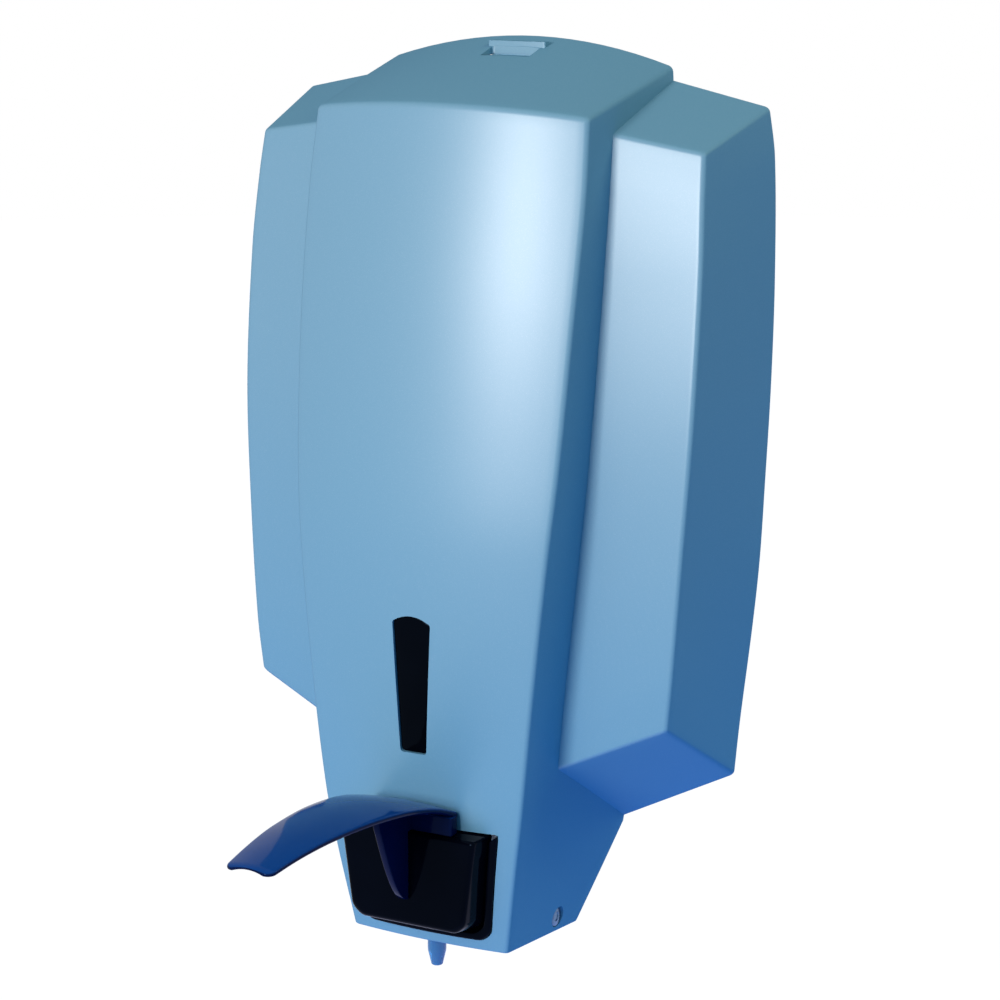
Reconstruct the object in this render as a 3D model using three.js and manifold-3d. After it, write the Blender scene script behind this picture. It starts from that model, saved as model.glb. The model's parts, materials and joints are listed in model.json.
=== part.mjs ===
// Elbow lever soap dispenser for a wall: a tall satin cover over a refillable tank and a
// small push pump, worked by a long lever that a bent arm can press.
// Millimetres, +Z up, +X to the right, the front faces -Y. The origin is on the back face of
// the wall plate, in the middle of its width. Heights in the drawing are measured from the
// lower front edge of the cover, and the whole drawing is then set down by MOUNT_HEIGHT.
import * as THREE from "three";
import { mergeVertices } from "three/addons/utils/BufferGeometryUtils.js";
import Module from "manifold-3d";

const wasm = await Module();
wasm.setup();

// Fits shared by all pieces
const GAP = 0.3; // between two pieces that touch
const OVERRUN = 2; // how far a cut runs past the face it opens
const MOUNT_HEIGHT = 150; // from the lower front edge up to the origin

// Cover
const WALL = 3;
const PANEL_HEIGHT = 362.7; // upper front corner of the raised centre panel
const PANEL_HALF_WIDTH = 66.5;
const PANEL_DEPTH = 103.3;
const PANEL_CROWN_RADIUS = 240;
const PANEL_FLARE = 4; // how much wider the centre part is at the wall
const TOP_RISE = 17.3; // from the front edge of the top face to the wall
const TOP_CROWN_FRONT = 6.5;
const TOP_CROWN_REAR = 10;
const FOOT_DROP = 6; // the lower edge falls this much towards the back
const HEEL_FORWARD = 33; // the slanted lower back edge starts this far from the wall
const HEEL_HEIGHT = 33.6; // and meets the wall at this height
const WING_HALF_WIDTH = 118.4;
const WING_DEPTH = 70;
const WING_TILT = 4; // the inner edge of a wing's front stands this much prouder
const WING_EMBED = 6; // how far a wing runs into the centre part
const WING_LOW = { outerFront: 104, innerFront: 76.7, outerRear: 64.7, innerRear: 33.6 };
const WING_HIGH = { outerFront: 348.3, innerFront: 356, outerRear: 363.3, innerRear: 375.1 };
const CORNER_RADIUS = 3;
const BOSS_RADIUS = 7; // round the hinge pins
const BOSS_DEPTH = 2.5;

// Rows of [height, half width, depth] as shares of PANEL_HEIGHT, PANEL_HALF_WIDTH, PANEL_DEPTH
const PANEL_EDGE_SHARES = [
  [0, 0.582, 0.92],
  [0.102, 0.672, 0.967],
  [0.185, 0.739, 0.99],
  [0.339, 0.826, 1],
  [0.502, 0.91, 0.985],
  [0.612, 0.957, 0.945],
  [0.775, 0.99, 0.865],
  [0.913, 1, 0.775],
  [1, 0.979, 0.716],
];
// Rows of [height share of the wing, half width, depth] for the outer front edge of a wing
const WING_FRONT_SHARES = [
  [0, 0.86, 0.99],
  [0.1, 0.88, 1],
  [0.3, 0.905, 0.985],
  [0.54, 0.929, 0.94],
  [0.79, 0.929, 0.847],
  [0.925, 0.915, 0.78],
  [1, 0.905, 0.729],
];
// Rows of [height share of the wing, half width] for its edge at the wall
const WING_REAR_SHARES = [
  [0, 0.878],
  [0.085, 0.898],
  [0.232, 0.94],
  [0.336, 0.964],
  [0.457, 0.979],
  [0.6, 0.994],
  [0.755, 1],
  [0.93, 0.99],
  [1, 0.965],
];

// Level window
const WINDOW_LOW = 90;
const WINDOW_HIGH = 151.5;
const WINDOW_TOP_HALF = 9.3;
const WINDOW_LOW_HALF = 6.4;
const WINDOW_ARCH = 3;
const LENS_RECESS = 0.8;
const LENS_FLANGE = 3;
const LENS_THICK = 2;

// Opening for the pad, and the rim in it
const OPENING_LOW = 5;
const OPENING_HIGH = 57.5;
const OPENING_TOP_HALF = 39;
const OPENING_LOW_HALF = 32;
const OPENING_CHAMFER = 4;
const RIM_PROUD = 1.5;
const RIM_WIDTH = 3.2;
const RIM_FLANGE = 5;
const RIM_FLANGE_THICK = 2;

// Pad
const PAD_CLEARANCE = 0.8;
const PAD_FRONT = 114; // depth of the pad's front face from the wall
const PAD_BACK = 101;
const PAD_WALL = 2.5;
const PAD_TAPER = 2.5;
const PAD_LIFT = 3.2; // the lower edge of the front face above that of the back
const PUSH_DEPTH = 103.6; // where the pad's rib meets the head of the spout
const PIVOT_DEPTH = 95;
const PIVOT_HEIGHT = 60;
const PIVOT_PIN_RADIUS = 2;
const PIVOT_PIN_HALF = 38;
const PIVOT_LUG_RADIUS = 4;
const PIVOT_LUG_THICK = 4;
const PIVOT_LUG_PLACE = 25;
const RUNNING_GAP = 0.25;
const RIB_HALF_WIDTH = 6;
const RIB_HALF_HEIGHT = 11;
const LEVER_SWING_DEG = 18;

// Lever
const LEVER_REACH = 240; // depth of the tip from the wall
const LEVER_ROOT_DEPTH = 108;
const LEVER_ROOT_HEIGHT = 66.5;
const LEVER_RISE = 16.5; // from the root's edge to the top of the arch
const LEVER_ROOT_HALF = 21.5;
const LEVER_ROOT_THICK = 2.8;
const LEVER_TIP_THICK = 1.8;
const LEVER_CROWN = 1.6;
const LEVER_FLANGE_FRONT = 113.7;
const LEVER_WEB_THICK = 3;
const LEVER_WEB_REACH = 141;
const LEVER_WEB_LOW = 26;
const LEVER_SCREW = { head: 2.2, height: 1.4, shank: 1.2 };
const LEVER_SCREW_X = 14;
const LEVER_SCREW_BITE = 4;
// Rows of [share of the way from root to tip, height share of the rise, half width share]
const LEVER_EDGE_SHARES = [
  [0, 0, 1],
  [0.08, 0.27, 0.98],
  [0.17, 0.5, 0.95],
  [0.27, 0.69, 0.915],
  [0.37, 0.82, 0.875],
  [0.49, 0.93, 0.82],
  [0.62, 0.99, 0.745],
  [0.74, 1, 0.675],
  [0.87, 0.94, 0.59],
  [1, 0.82, 0.512],
];
const LEVER_ACROSS_SHARES = [-1, -0.75, -0.4, 0, 0.4, 0.75, 1];
const WEB_CURVE_SHARES = [0, 0.25, 0.5, 0.75, 1];

// Pump
const PUMP_HEIGHT = 30;
const PUMP_BORE = 9;
const PUMP_RADIUS = 12;
const PUMP_FRONT = 64.7; // depth of the cylinder's front end from the wall
const PUMP_BACK = 28;
const PUMP_END_WALL = 3;
const GLAND_RADIUS = 15;
const GLAND_FACE = 3;
const GLAND_SKIRT = 9;
const ROD_RADIUS = 3.5;
const ROD_BORE = 1.5;
const PISTON_CLEARANCE = 0.4;
const PISTON_LENGTH = 8;
const PISTON_BACK = 48;
const SEAL_THICK = 1.3;
const ROD_SOCKET = 4.5;
const INLET_DEPTH = 44;
const INLET_RADIUS = 11;
const INLET_TOP = 89;
const INLET_BORE = 3;
const BALL_RADIUS = 4;
const CAGE_RADIUS = 5;
const CAGE_LOW = 42;
const CAGE_HIGH = 54;
const SOCKET_LOW = 76;
const SPRING_RADIUS = 5.6;
const SPRING_WIRE = 0.9;
const SPRING_TURNS = 3.5;

// Spout
const SPOUT_HEAD_RADIUS = 6;
const SPOUT_DEPTH = 88.5;
const SPOUT_BACK = 83;
const SPOUT_RADIUS = 4.2;
const SPOUT_TIP_RADIUS = 2.7;
const SPOUT_TAPER_TOP = -7;
const SPOUT_TIP = -14.2;
const SPOUT_BORE = 1.5;
const VALVE_RADIUS = 2.4;
const VALVE_LOW = 2;
const VALVE_HIGH = 14;
const VALVE_SHOULDER = 10.4;
const VALVE_BORE = 1.2;

// Cradle and hinge
const HINGE_DEPTH = 52;
const HINGE_HEIGHT = 3;
const HINGE_PIN_RADIUS = 3.5;
const HINGE_EYE_RADIUS = 8;
const HINGE_HEAD_RADIUS = 4.6;
const HINGE_HEAD_THICK = 1.6;
const HINGE_PIN_INNER = 29;
const CHEEK_PLACE = 31;
const CHEEK_THICK = 3.5;
const CHEEK_TOP = 92;
const CRADLE_FLOOR = 13;
const CRADLE_FLOOR_THICK = 3;
const CRADLE_RIB_THICK = 3;
const CHEEK_FOOT = 12; // depth of a cheek at its top
const CRADLE_SCREW_X = 22;
const CRADLE_SCREW_HEIGHT = 80;
const COVER_SWING_DEG = 95;

// Wall plate, shelf and screws
const PLATE_THICK = 4;
const PLATE_INSET = 5; // between the cover's inner face and the plate's edge
const PLATE_LIFT = 10; // room for the wings' undersides as the cover swings past
const PLATE_LOW = 44;
const PLATE_TOP = 366;
const PLATE_RIB = 3;
const RIB_PLACE = 30;
const PLATE_SIDE_SHARES = [0, 0.1, 0.25, 0.45, 0.7, 0.94, 1];
const WALL_HOLE_RADIUS = 2.6;
const WALL_HOLE_SINK = 5.5;
const WALL_HOLES_X = 70;
const WALL_HOLES_LOW = 150;
const WALL_HOLES_HIGH = 320;
const SHELF_TOP = 111.7;
const SHELF_THICK = 4;
const SHELF_HALF_WIDTH = 44;
const SHELF_FRONT = 84;
const SHELF_HOLE = 14;
const SHELF_FLANGE_HEIGHT = 18;
const SHELF_FLANGE_THICK = 3.5;
const GUSSET_PLACE = 37;
const SHELF_SCREW_X = 28;
const PLATE_SCREW = { head: 3.6, height: 2.2, shank: 1.6 };
const SCREW_SINK = 3; // how deep a screw runs into the wall plate

// Tank
const TANK_WALL = 2.5;
const TANK_BACK = 8;
const TANK_SIDE_CLEAR = 22.4; // from the tank's end to the widest part of a wing
const TANK_CHAMFER = 14;
const TANK_LOW = 112;
const TANK_HIGH = 333;
const TANK_BULGE_HALF = 46;
const TANK_FRONT_CLEAR = 4; // between the tank and the cover's front, inside
const TANK_LEVEL_SHARES = [0, 0.2, 0.4, 0.6, 0.8, 1];
const OUTLET_RADIUS = 7;
const OUTLET_BORE = 4;
const OUTLET_LOW = 79;
const FILLER_RADIUS = 16;
const FILLER_DEPTH = 46;
const FILLER_HEIGHT = 9;
const FILLER_SEAL = 1;
const FILLER_WALL = 3;
const CAP_WALL = 2;
const CAP_SKIRT = 8;
const CAP_RIB = 1;
const CAP_RIBS = 24;
const CAP_TURN_DEG = 90;

// Latch
const LATCH_DEPTH = 19.5;
const LATCH_HALF_WIDTH = 11;
const LATCH_HALF_LENGTH = 5;
const LATCH_TOP = 382.4;
const LATCH_STEM_LOW = 364;
const LATCH_FOOT = 1.5; // how far its foot stands out on each side
const LATCH_FOOT_HEIGHT = 3;
const LATCH_TRAVEL = 3;
const LATCH_SPRING_RADIUS = 3.2;
const LATCH_SPRING_WIRE = 0.9;
const GUIDE_WALL = 2.5;
const GUIDE_LOW = 350;
const GUIDE_HIGH = 372;
const SLOT_CLEARANCE = 0.8;

// Counts and plain shares
const ARC_STEPS = 36;
const SEAL_STEPS = 24;
const RING_SIDES = 8;
const CORNER_STEPS = 3;
const DOME_STEPS = 8;
const SCREW_STEPS = 16;
const BALL_STEPS = 12;
const TURN_STEPS = 8;
const WIRE_SIDES = 5;
const PANEL_COLUMNS = 12;
const PANEL_ROWS = 16;
const LEVER_ROWS = 18;
const CROSS_SHARES = [0.6, 0.14]; // arm and half width of the cross in a screw's head

// Finishes
function finish(color, roughness, metalness, opacity = 1) {
  const settings = { color, roughness, metalness, flatShading: true };
  if (opacity < 1) {
    settings.transparent = true;
    settings.opacity = opacity;
  }
  return new THREE.MeshStandardMaterial(settings);
}
const satinSilver = finish(0x8fb4cb, 0.36, 0.55);
const darkGloss = finish(0x0a0f1e, 0.12, 0);
const darkBlueGloss = finish(0x16264a, 0.14, 0);
const smokedLens = finish(0x101418, 0.08, 0, 0.7);
const blueClear = finish(0x4a84c8, 0.2, 0, 0.8);
const greyPlastic = finish(0xb9c0c4, 0.5, 0);
const milkyPlastic = finish(0xe6e9e4, 0.45, 0, 0.75);
const whitePlastic = finish(0xe9ecec, 0.4, 0);
const steel = finish(0xb7babd, 0.3, 1);
const blackRubber = finish(0x1b1c1d, 0.75, 0);

// Solids

// One closed solid from a geometry, with its faces pointing out.
function solid(geometry) {
  const bare = new THREE.BufferGeometry();
  bare.setAttribute("position", geometry.getAttribute("position"));
  bare.setIndex(geometry.getIndex());
  const merged = mergeVertices(bare, 1e-4);
  const corners = new Uint32Array(merged.getIndex().array);
  const made = (triVerts) =>
    new wasm.Manifold(
      new wasm.Mesh({ numProp: 3, vertProperties: merged.getAttribute("position").array, triVerts }),
    );
  const first = made(corners);
  if (first.volume() > 0) return first;
  return made(corners.slice().reverse());
}

function joined(...solids) {
  return solids.reduce((sum, next) => sum.add(next));
}

function cut(body, ...tools) {
  return tools.reduce((rest, tool) => rest.subtract(tool), body);
}

// A piece of the dispenser: a named mesh with its own finish.
function piece(name, body, material) {
  const found = body.getMesh();
  const geometry = new THREE.BufferGeometry();
  geometry.setAttribute("position", new THREE.BufferAttribute(new Float32Array(found.vertProperties), 3));
  geometry.setIndex(new THREE.BufferAttribute(new Uint32Array(found.triVerts), 1));
  const mesh = new THREE.Mesh(geometry, material);
  mesh.name = name;
  return mesh;
}

// An outline pushed along an axis. The outline's points are (y, z) for x, (x, z) for y and
// (x, y) for z.
function prism(axis, points, from, to) {
  const turned = axis === "y" ? points.map(([a, b]) => [b, a]) : points;
  const shape = new THREE.Shape(turned.map(([a, b]) => new THREE.Vector2(a, b)));
  const geometry = new THREE.ExtrudeGeometry(shape, { depth: to - from, bevelEnabled: false });
  const place = geometry.getAttribute("position");
  for (let i = 0; i < place.count; i += 1) {
    const a = place.getX(i);
    const b = place.getY(i);
    const along = place.getZ(i) + from;
    if (axis === "x") place.setXYZ(i, along, a, b);
    if (axis === "y") place.setXYZ(i, b, along, a);
    if (axis === "z") place.setXYZ(i, a, b, along);
  }
  return solid(geometry);
}

function block([x0, x1], [y0, y1], [z0, z1]) {
  const outline = [
    [x0, y0],
    [x1, y0],
    [x1, y1],
    [x0, y1],
  ];
  return prism("z", outline, z0, z1);
}

function circle([a, b], radius, steps = ARC_STEPS) {
  return Array.from({ length: steps }, (_, i) => {
    const angle = (2 * Math.PI * i) / steps;
    return [a + radius * Math.cos(angle), b + radius * Math.sin(angle)];
  });
}

function drum(axis, centre, radius, from, to, steps = ARC_STEPS) {
  return prism(axis, circle(centre, radius, steps), from, to);
}

// A profile of [radius, distance along the axis], turned round an axis through a point.
function turned(axis, centre, profile, steps = ARC_STEPS) {
  const points = profile.map(([radius, along]) => new THREE.Vector2(radius, along));
  const geometry = new THREE.LatheGeometry(points, steps);
  const place = geometry.getAttribute("position");
  for (let i = 0; i < place.count; i += 1) {
    const a = place.getX(i);
    const along = place.getY(i);
    const b = place.getZ(i);
    if (axis === "x") place.setXYZ(i, along, a + centre[0], b + centre[1]);
    if (axis === "y") place.setXYZ(i, b + centre[0], along, a + centre[1]);
    if (axis === "z") place.setXYZ(i, a + centre[0], b + centre[1], along);
  }
  return solid(geometry);
}

// A closed ring of round section, for seals.
function ring(axis, centre, radius, section, along) {
  const profile = circle([radius, along], section, RING_SIDES);
  return turned(axis, centre, [...profile, profile[0]], SEAL_STEPS);
}

// A closed solid through rows of points: each row is a closed ring, and the ends are capped
// by fans round their middle.
function loft(rows) {
  const place = [];
  const index = [];
  const size = rows[0].length;
  for (const row of rows) for (const point of row) place.push(...point);
  for (let j = 0; j + 1 < rows.length; j += 1) {
    for (let i = 0; i < size; i += 1) {
      const a = j * size + i;
      const b = j * size + ((i + 1) % size);
      index.push(a, b, b + size, a, b + size, a + size);
    }
  }
  for (const [end, flip] of [[0, true], [rows.length - 1, false]]) {
    const middle = place.length / 3;
    const sum = [0, 1, 2].map((k) => rows[end].reduce((total, point) => total + point[k], 0) / size);
    place.push(...sum);
    for (let i = 0; i < size; i += 1) {
      const a = end * size + i;
      const b = end * size + ((i + 1) % size);
      if (flip) index.push(b, a, middle);
      else index.push(a, b, middle);
    }
  }
  const geometry = new THREE.BufferGeometry();
  geometry.setAttribute("position", new THREE.BufferAttribute(new Float32Array(place), 3));
  geometry.setIndex(index);
  return solid(geometry);
}

// A closed solid between a front sheet and a rear sheet with as many rows and columns. Its
// top and bottom are strips from each front point to the rear point behind it.
function between(front, rear) {
  const rows = front.length;
  const columns = front[0].length;
  const place = [...front.flat(), ...rear.flat()].flat();
  const at = (side, j, i) => side * rows * columns + j * columns + i;
  const index = [];
  const quad = (a, b, c, d) => index.push(a, b, c, a, c, d);
  for (let j = 0; j + 1 < rows; j += 1) {
    for (let i = 0; i + 1 < columns; i += 1) {
      quad(at(0, j, i), at(0, j, i + 1), at(0, j + 1, i + 1), at(0, j + 1, i));
      quad(at(1, j, i + 1), at(1, j, i), at(1, j + 1, i), at(1, j + 1, i + 1));
    }
    const last = columns - 1;
    quad(at(0, j, last), at(1, j, last), at(1, j + 1, last), at(0, j + 1, last));
    quad(at(1, j, 0), at(0, j, 0), at(0, j + 1, 0), at(1, j + 1, 0));
  }
  for (let i = 0; i + 1 < columns; i += 1) {
    const top = rows - 1;
    quad(at(1, 0, i), at(1, 0, i + 1), at(0, 0, i + 1), at(0, 0, i));
    quad(at(0, top, i), at(0, top, i + 1), at(1, top, i + 1), at(1, top, i));
  }
  const geometry = new THREE.BufferGeometry();
  geometry.setAttribute("position", new THREE.BufferAttribute(new Float32Array(place), 3));
  geometry.setIndex(index);
  return solid(geometry);
}

// The value of a column of a table at a share of its first column, by a smooth curve
// through the rows.
function reading(table, share, column) {
  const last = table.length - 1;
  const t = Math.min(Math.max(share, 0), 1);
  let k = 0;
  while (k < last - 1 && t > table[k + 1][0]) k += 1;
  const slope = (i) => {
    const a = table[Math.max(i - 1, 0)];
    const b = table[Math.min(i + 1, last)];
    return (b[column] - a[column]) / (b[0] - a[0]);
  };
  const [p, q] = [table[k], table[k + 1]];
  const width = q[0] - p[0];
  const u = (t - p[0]) / width;
  const blend = u * u * (3 - 2 * u);
  const bend = u * (1 - u) * width * ((1 - u) * slope(k) - u * slope(k + 1));
  return p[column] + blend * (q[column] - p[column]) + bend;
}

const mix = THREE.MathUtils.lerp;

function mirrored(outline) {
  return [...outline, ...outline.map(([x, other]) => [-x, other]).reverse()];
}

// Cover

function panelHalfWidth(z) {
  return PANEL_HALF_WIDTH * reading(PANEL_EDGE_SHARES, z / PANEL_HEIGHT, 1);
}

function panelCornerDepth(z) {
  return PANEL_DEPTH * reading(PANEL_EDGE_SHARES, z / PANEL_HEIGHT, 2);
}

// Depth of the panel's front face from the wall.
function panelDepth(x, z) {
  const half = panelHalfWidth(z);
  return panelCornerDepth(z) + (half * half - x * x) / (2 * PANEL_CROWN_RADIUS);
}

function topHeight(x, depth) {
  const back = 1 - depth / panelCornerDepth(PANEL_HEIGHT);
  const side = x / panelHalfWidth(PANEL_HEIGHT);
  const crown = mix(TOP_CROWN_FRONT, TOP_CROWN_REAR, back) * (1 - side * side);
  return PANEL_HEIGHT + TOP_RISE * back + crown;
}

const cornerAngles = Array.from({ length: CORNER_STEPS }, (_, k) => ((k + 1) * Math.PI) / 2 / CORNER_STEPS);

// The front edge of a plan section with round corners, as columns from left to right.
function roundedShares(radiusShare) {
  const flat = Array.from({ length: PANEL_COLUMNS + 1 }, (_, i) => {
    const share = -1 + (2 * i) / PANEL_COLUMNS;
    return [share * (1 - radiusShare), 0];
  });
  const arc = cornerAngles.map((angle) => {
    return [1 - radiusShare + radiusShare * Math.sin(angle), 1 - Math.cos(angle)];
  });
  return [...arc.map(([x, back]) => [-x, back]).reverse(), ...flat, ...arc];
}

// The raised centre of the cover, drawn in by an inset. With an inset it is open behind and
// below, as the hollow in it is.
function centreForm(inset) {
  const hollow = inset > 0;
  const front = [];
  const rear = [];
  for (let j = 0; j <= PANEL_ROWS; j += 1) {
    const share = j / PANEL_ROWS;
    const z = share * PANEL_HEIGHT;
    const half = panelHalfWidth(z) - inset;
    const radius = Math.max(CORNER_RADIUS - inset, CORNER_RADIUS / 3);
    const shares = roundedShares(radius / half);
    const rearDepth = hollow ? -OVERRUN : 0;
    const height = (x, depth) => {
      const back = (panelCornerDepth(0) - depth) / (panelCornerDepth(0) - HEEL_FORWARD);
      const low = -FOOT_DROP * back;
      const foot = hollow ? low - OVERRUN - FOOT_DROP : low;
      return mix(foot, topHeight(x, Math.max(depth, 0)) - inset, share);
    };
    front.push(
      shares.map(([across, back]) => {
        const x = across * half;
        const depth = panelDepth(x, z) - inset - back * radius;
        return [x, -depth, height(x, depth)];
      }),
    );
    rear.push(
      shares.map(([across]) => {
        const x = across * (half + PANEL_FLARE);
        return [x, -rearDepth, height(x, rearDepth)];
      }),
    );
  }
  return between(front, rear);
}

// One wing of the cover, drawn in by an inset; side is 1 on the right and -1 on the left.
function wingForm(side, inset) {
  const hollow = inset > 0;
  const front = [];
  const rear = [];
  for (let j = 0; j <= PANEL_ROWS; j += 1) {
    const share = j / PANEL_ROWS;
    const low = (name) => WING_LOW[name] + inset;
    const high = (name) => WING_HIGH[name] - inset;
    const level = (name) => mix(low(name), high(name), share);
    const outerX = WING_HALF_WIDTH * reading(WING_FRONT_SHARES, share, 1) - inset;
    const rearX = WING_HALF_WIDTH * reading(WING_REAR_SHARES, share, 1) - inset;
    const depth = WING_DEPTH * reading(WING_FRONT_SHARES, share, 2) - inset;
    const innerX = panelHalfWidth(level("innerFront")) - WING_EMBED - inset;
    const rearDepth = hollow ? -OVERRUN : 0;
    const radius = Math.max(CORNER_RADIUS - inset, CORNER_RADIUS / 3);
    const width = outerX - innerX;
    const columns = [0, 0.5, 1 - radius / width].map((across) => [across, 0]);
    const arc = cornerAngles.map((angle) => {
      return [1 - (radius / width) * (1 - Math.sin(angle)), radius * (1 - Math.cos(angle))];
    });
    const shares = [...columns, ...arc];
    front.push(
      shares.map(([across, back]) => [
        side * mix(innerX, outerX, across),
        -(depth + WING_TILT * (1 - across) - back),
        mix(level("innerFront"), level("outerFront"), across),
      ]),
    );
    rear.push(
      shares.map(([across]) => [
        side * mix(innerX, rearX, across),
        -rearDepth,
        mix(level("innerRear"), level("outerRear"), across),
      ]),
    );
  }
  return between(front, rear);
}

function coverForm(inset) {
  return joined(centreForm(inset), wingForm(1, inset), wingForm(-1, inset));
}

const outerForm = coverForm(0);
const innerForm = coverForm(WALL);

// The part of the cover's wall between two insets.
function skin(from, to) {
  return coverForm(from).subtract(coverForm(to));
}

// What lies behind the slanted lower back edge.
function heelCut() {
  const run = HEEL_HEIGHT + FOOT_DROP;
  const reach = PANEL_DEPTH;
  const slope = HEEL_FORWARD / run;
  const outline = [
    [OVERRUN * slope, HEEL_HEIGHT + OVERRUN],
    [-HEEL_FORWARD - slope * reach, -FOOT_DROP - reach],
    [reach, -FOOT_DROP - reach],
    [reach, HEEL_HEIGHT + OVERRUN],
  ];
  return prism("x", outline, -WING_HALF_WIDTH, WING_HALF_WIDTH);
}

function frontPrism(outline) {
  return prism("y", outline, -PANEL_DEPTH - TOP_RISE, -PIVOT_DEPTH + WALL * 3);
}

function windowOutline(grow) {
  const high = WINDOW_HIGH + grow;
  return mirrored([
    [WINDOW_LOW_HALF + grow, WINDOW_LOW - grow],
    [WINDOW_TOP_HALF + grow, high - WINDOW_ARCH],
    [(WINDOW_TOP_HALF + grow) / 2, high - WINDOW_ARCH / 4],
  ]);
}

function openingHalf(z) {
  return mix(OPENING_LOW_HALF, OPENING_TOP_HALF, (z - OPENING_LOW) / (OPENING_HIGH - OPENING_LOW));
}

// The opening's outline, drawn in by a shrink; its sides can be carried on upwards by a raise.
function openingOutline(shrink, raise = 0) {
  const low = OPENING_LOW + shrink;
  const high = OPENING_HIGH - shrink;
  const side = (z) => openingHalf(z) - shrink;
  const carriedOn = raise > 0 ? [[side(high), OPENING_HIGH + raise]] : [];
  return mirrored([
    [side(low) - OPENING_CHAMFER, low],
    [side(low + OPENING_CHAMFER), low + OPENING_CHAMFER],
    [side(high), high],
    ...carriedOn,
  ]);
}

function sideWallX(depth, z) {
  return panelHalfWidth(z) + PANEL_FLARE * (1 - depth / panelCornerDepth(z));
}

function makeFrontCover() {
  const hingeX = sideWallX(HINGE_DEPTH, HINGE_HEIGHT);
  const centre = [-HINGE_DEPTH, HINGE_HEIGHT];
  const slotHalf = LATCH_HALF_WIDTH + SLOT_CLEARANCE;
  const slotReach = LATCH_HALF_LENGTH + SLOT_CLEARANCE;
  let cover = cut(outerForm, innerForm);
  for (const side of [-1, 1]) {
    const [inner, outer] = [side * (hingeX - WALL - BOSS_DEPTH), side * (hingeX - WALL / 2)];
    cover = cover.add(drum("x", centre, BOSS_RADIUS, Math.min(inner, outer), Math.max(inner, outer)));
  }
  const pinHole = drum("x", centre, HINGE_PIN_RADIUS + RUNNING_GAP, -PANEL_HALF_WIDTH, PANEL_HALF_WIDTH);
  const slot = block(
    [-slotHalf, slotHalf],
    [-LATCH_DEPTH - slotReach, -LATCH_DEPTH + slotReach],
    [LATCH_TOP - WALL * 2, LATCH_TOP + TOP_CROWN_REAR],
  );
  cover = cut(cover, heelCut(), pinHole, slot);
  for (const side of [-1, 1]) {
    const seat = side * (hingeX - HINGE_HEAD_THICK);
    const away = side * (hingeX + OVERRUN);
    const radius = HINGE_HEAD_RADIUS + RUNNING_GAP;
    cover = cover.subtract(drum("x", centre, radius, Math.min(seat, away), Math.max(seat, away)));
  }
  return cut(cover, frontPrism(windowOutline(0)), frontPrism(openingOutline(0)));
}

function makeWindowLens() {
  const plug = frontPrism(windowOutline(-GAP)).intersect(skin(LENS_RECESS, WALL + GAP + LENS_THICK));
  const flange = frontPrism(windowOutline(LENS_FLANGE)).intersect(
    skin(WALL + GAP, WALL + GAP + LENS_THICK),
  );
  return joined(plug, flange);
}

// Rim, pad and lever

const rimInner = GAP + RIM_WIDTH;

function makePadFrame() {
  const behind = WALL + GAP + RIM_FLANGE_THICK;
  const hole = frontPrism(openingOutline(rimInner, OPENING_HIGH));
  const rim = frontPrism(openingOutline(GAP)).intersect(skin(-RIM_PROUD, behind));
  const flange = frontPrism(openingOutline(-RIM_FLANGE)).intersect(skin(WALL + GAP, behind));
  const pin = drum(
    "x",
    [-PIVOT_DEPTH, PIVOT_HEIGHT],
    PIVOT_PIN_RADIUS + GAP,
    -PIVOT_PIN_HALF - OVERRUN,
    PIVOT_PIN_HALF + OVERRUN,
  );
  let frame = joined(rim, flange).subtract(hole);
  for (const side of [-1, 1]) {
    const ear = [
      [-PIVOT_DEPTH + PIVOT_LUG_RADIUS, PIVOT_HEIGHT - PIVOT_LUG_RADIUS],
      [-PIVOT_DEPTH + PIVOT_LUG_RADIUS, PIVOT_HEIGHT + PIVOT_LUG_RADIUS],
      [-PANEL_DEPTH, PIVOT_HEIGHT + PIVOT_LUG_RADIUS],
      [-PANEL_DEPTH, PIVOT_HEIGHT - PIVOT_LUG_RADIUS * 2],
    ];
    const body = sidePrism(ear, side, OPENING_TOP_HALF - rimInner, PIVOT_PIN_HALF + OVERRUN * 2);
    frame = frame.add(body.intersect(coverForm(WALL + GAP)));
  }
  // Room for the spout as the cover swings past it.
  const away = SPOUT_DEPTH + SPOUT_TIP_RADIUS - HINGE_DEPTH;
  const sweep = Math.hypot(away, HINGE_HEIGHT - SPOUT_TIP) + GAP * 2;
  const room = SPOUT_RADIUS + OVERRUN;
  return cut(frame, pin, drum("x", [-HINGE_DEPTH, HINGE_HEIGHT], sweep, -room, room));
}

// A prism along X between two distances from the middle, on one side.
function sidePrism(outline, side, near, far) {
  return prism("x", outline, Math.min(side * near, side * far), Math.max(side * near, side * far));
}

// Half width of the pad at a height, at its back edge.
function padHalfWidth(z) {
  return openingHalf(z) - rimInner - PAD_CLEARANCE;
}

const padLow = OPENING_LOW + rimInner + PAD_CLEARANCE;
const padHigh = OPENING_HIGH - PAD_CLEARANCE;

// One cross-section of the pad, drawn in at its sides by an inset; the top stays flat.
function padRing(depth, inset, lift, high) {
  const low = padLow + inset + lift;
  const chamfer = OPENING_CHAMFER;
  const half = (z) => padHalfWidth(z) - inset;
  const right = [
    [half(low) - chamfer, low],
    [half(low + chamfer), low + chamfer],
    [half(high), high],
  ];
  return mirrored(right).map(([x, z]) => [x, -depth, z]);
}

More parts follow.
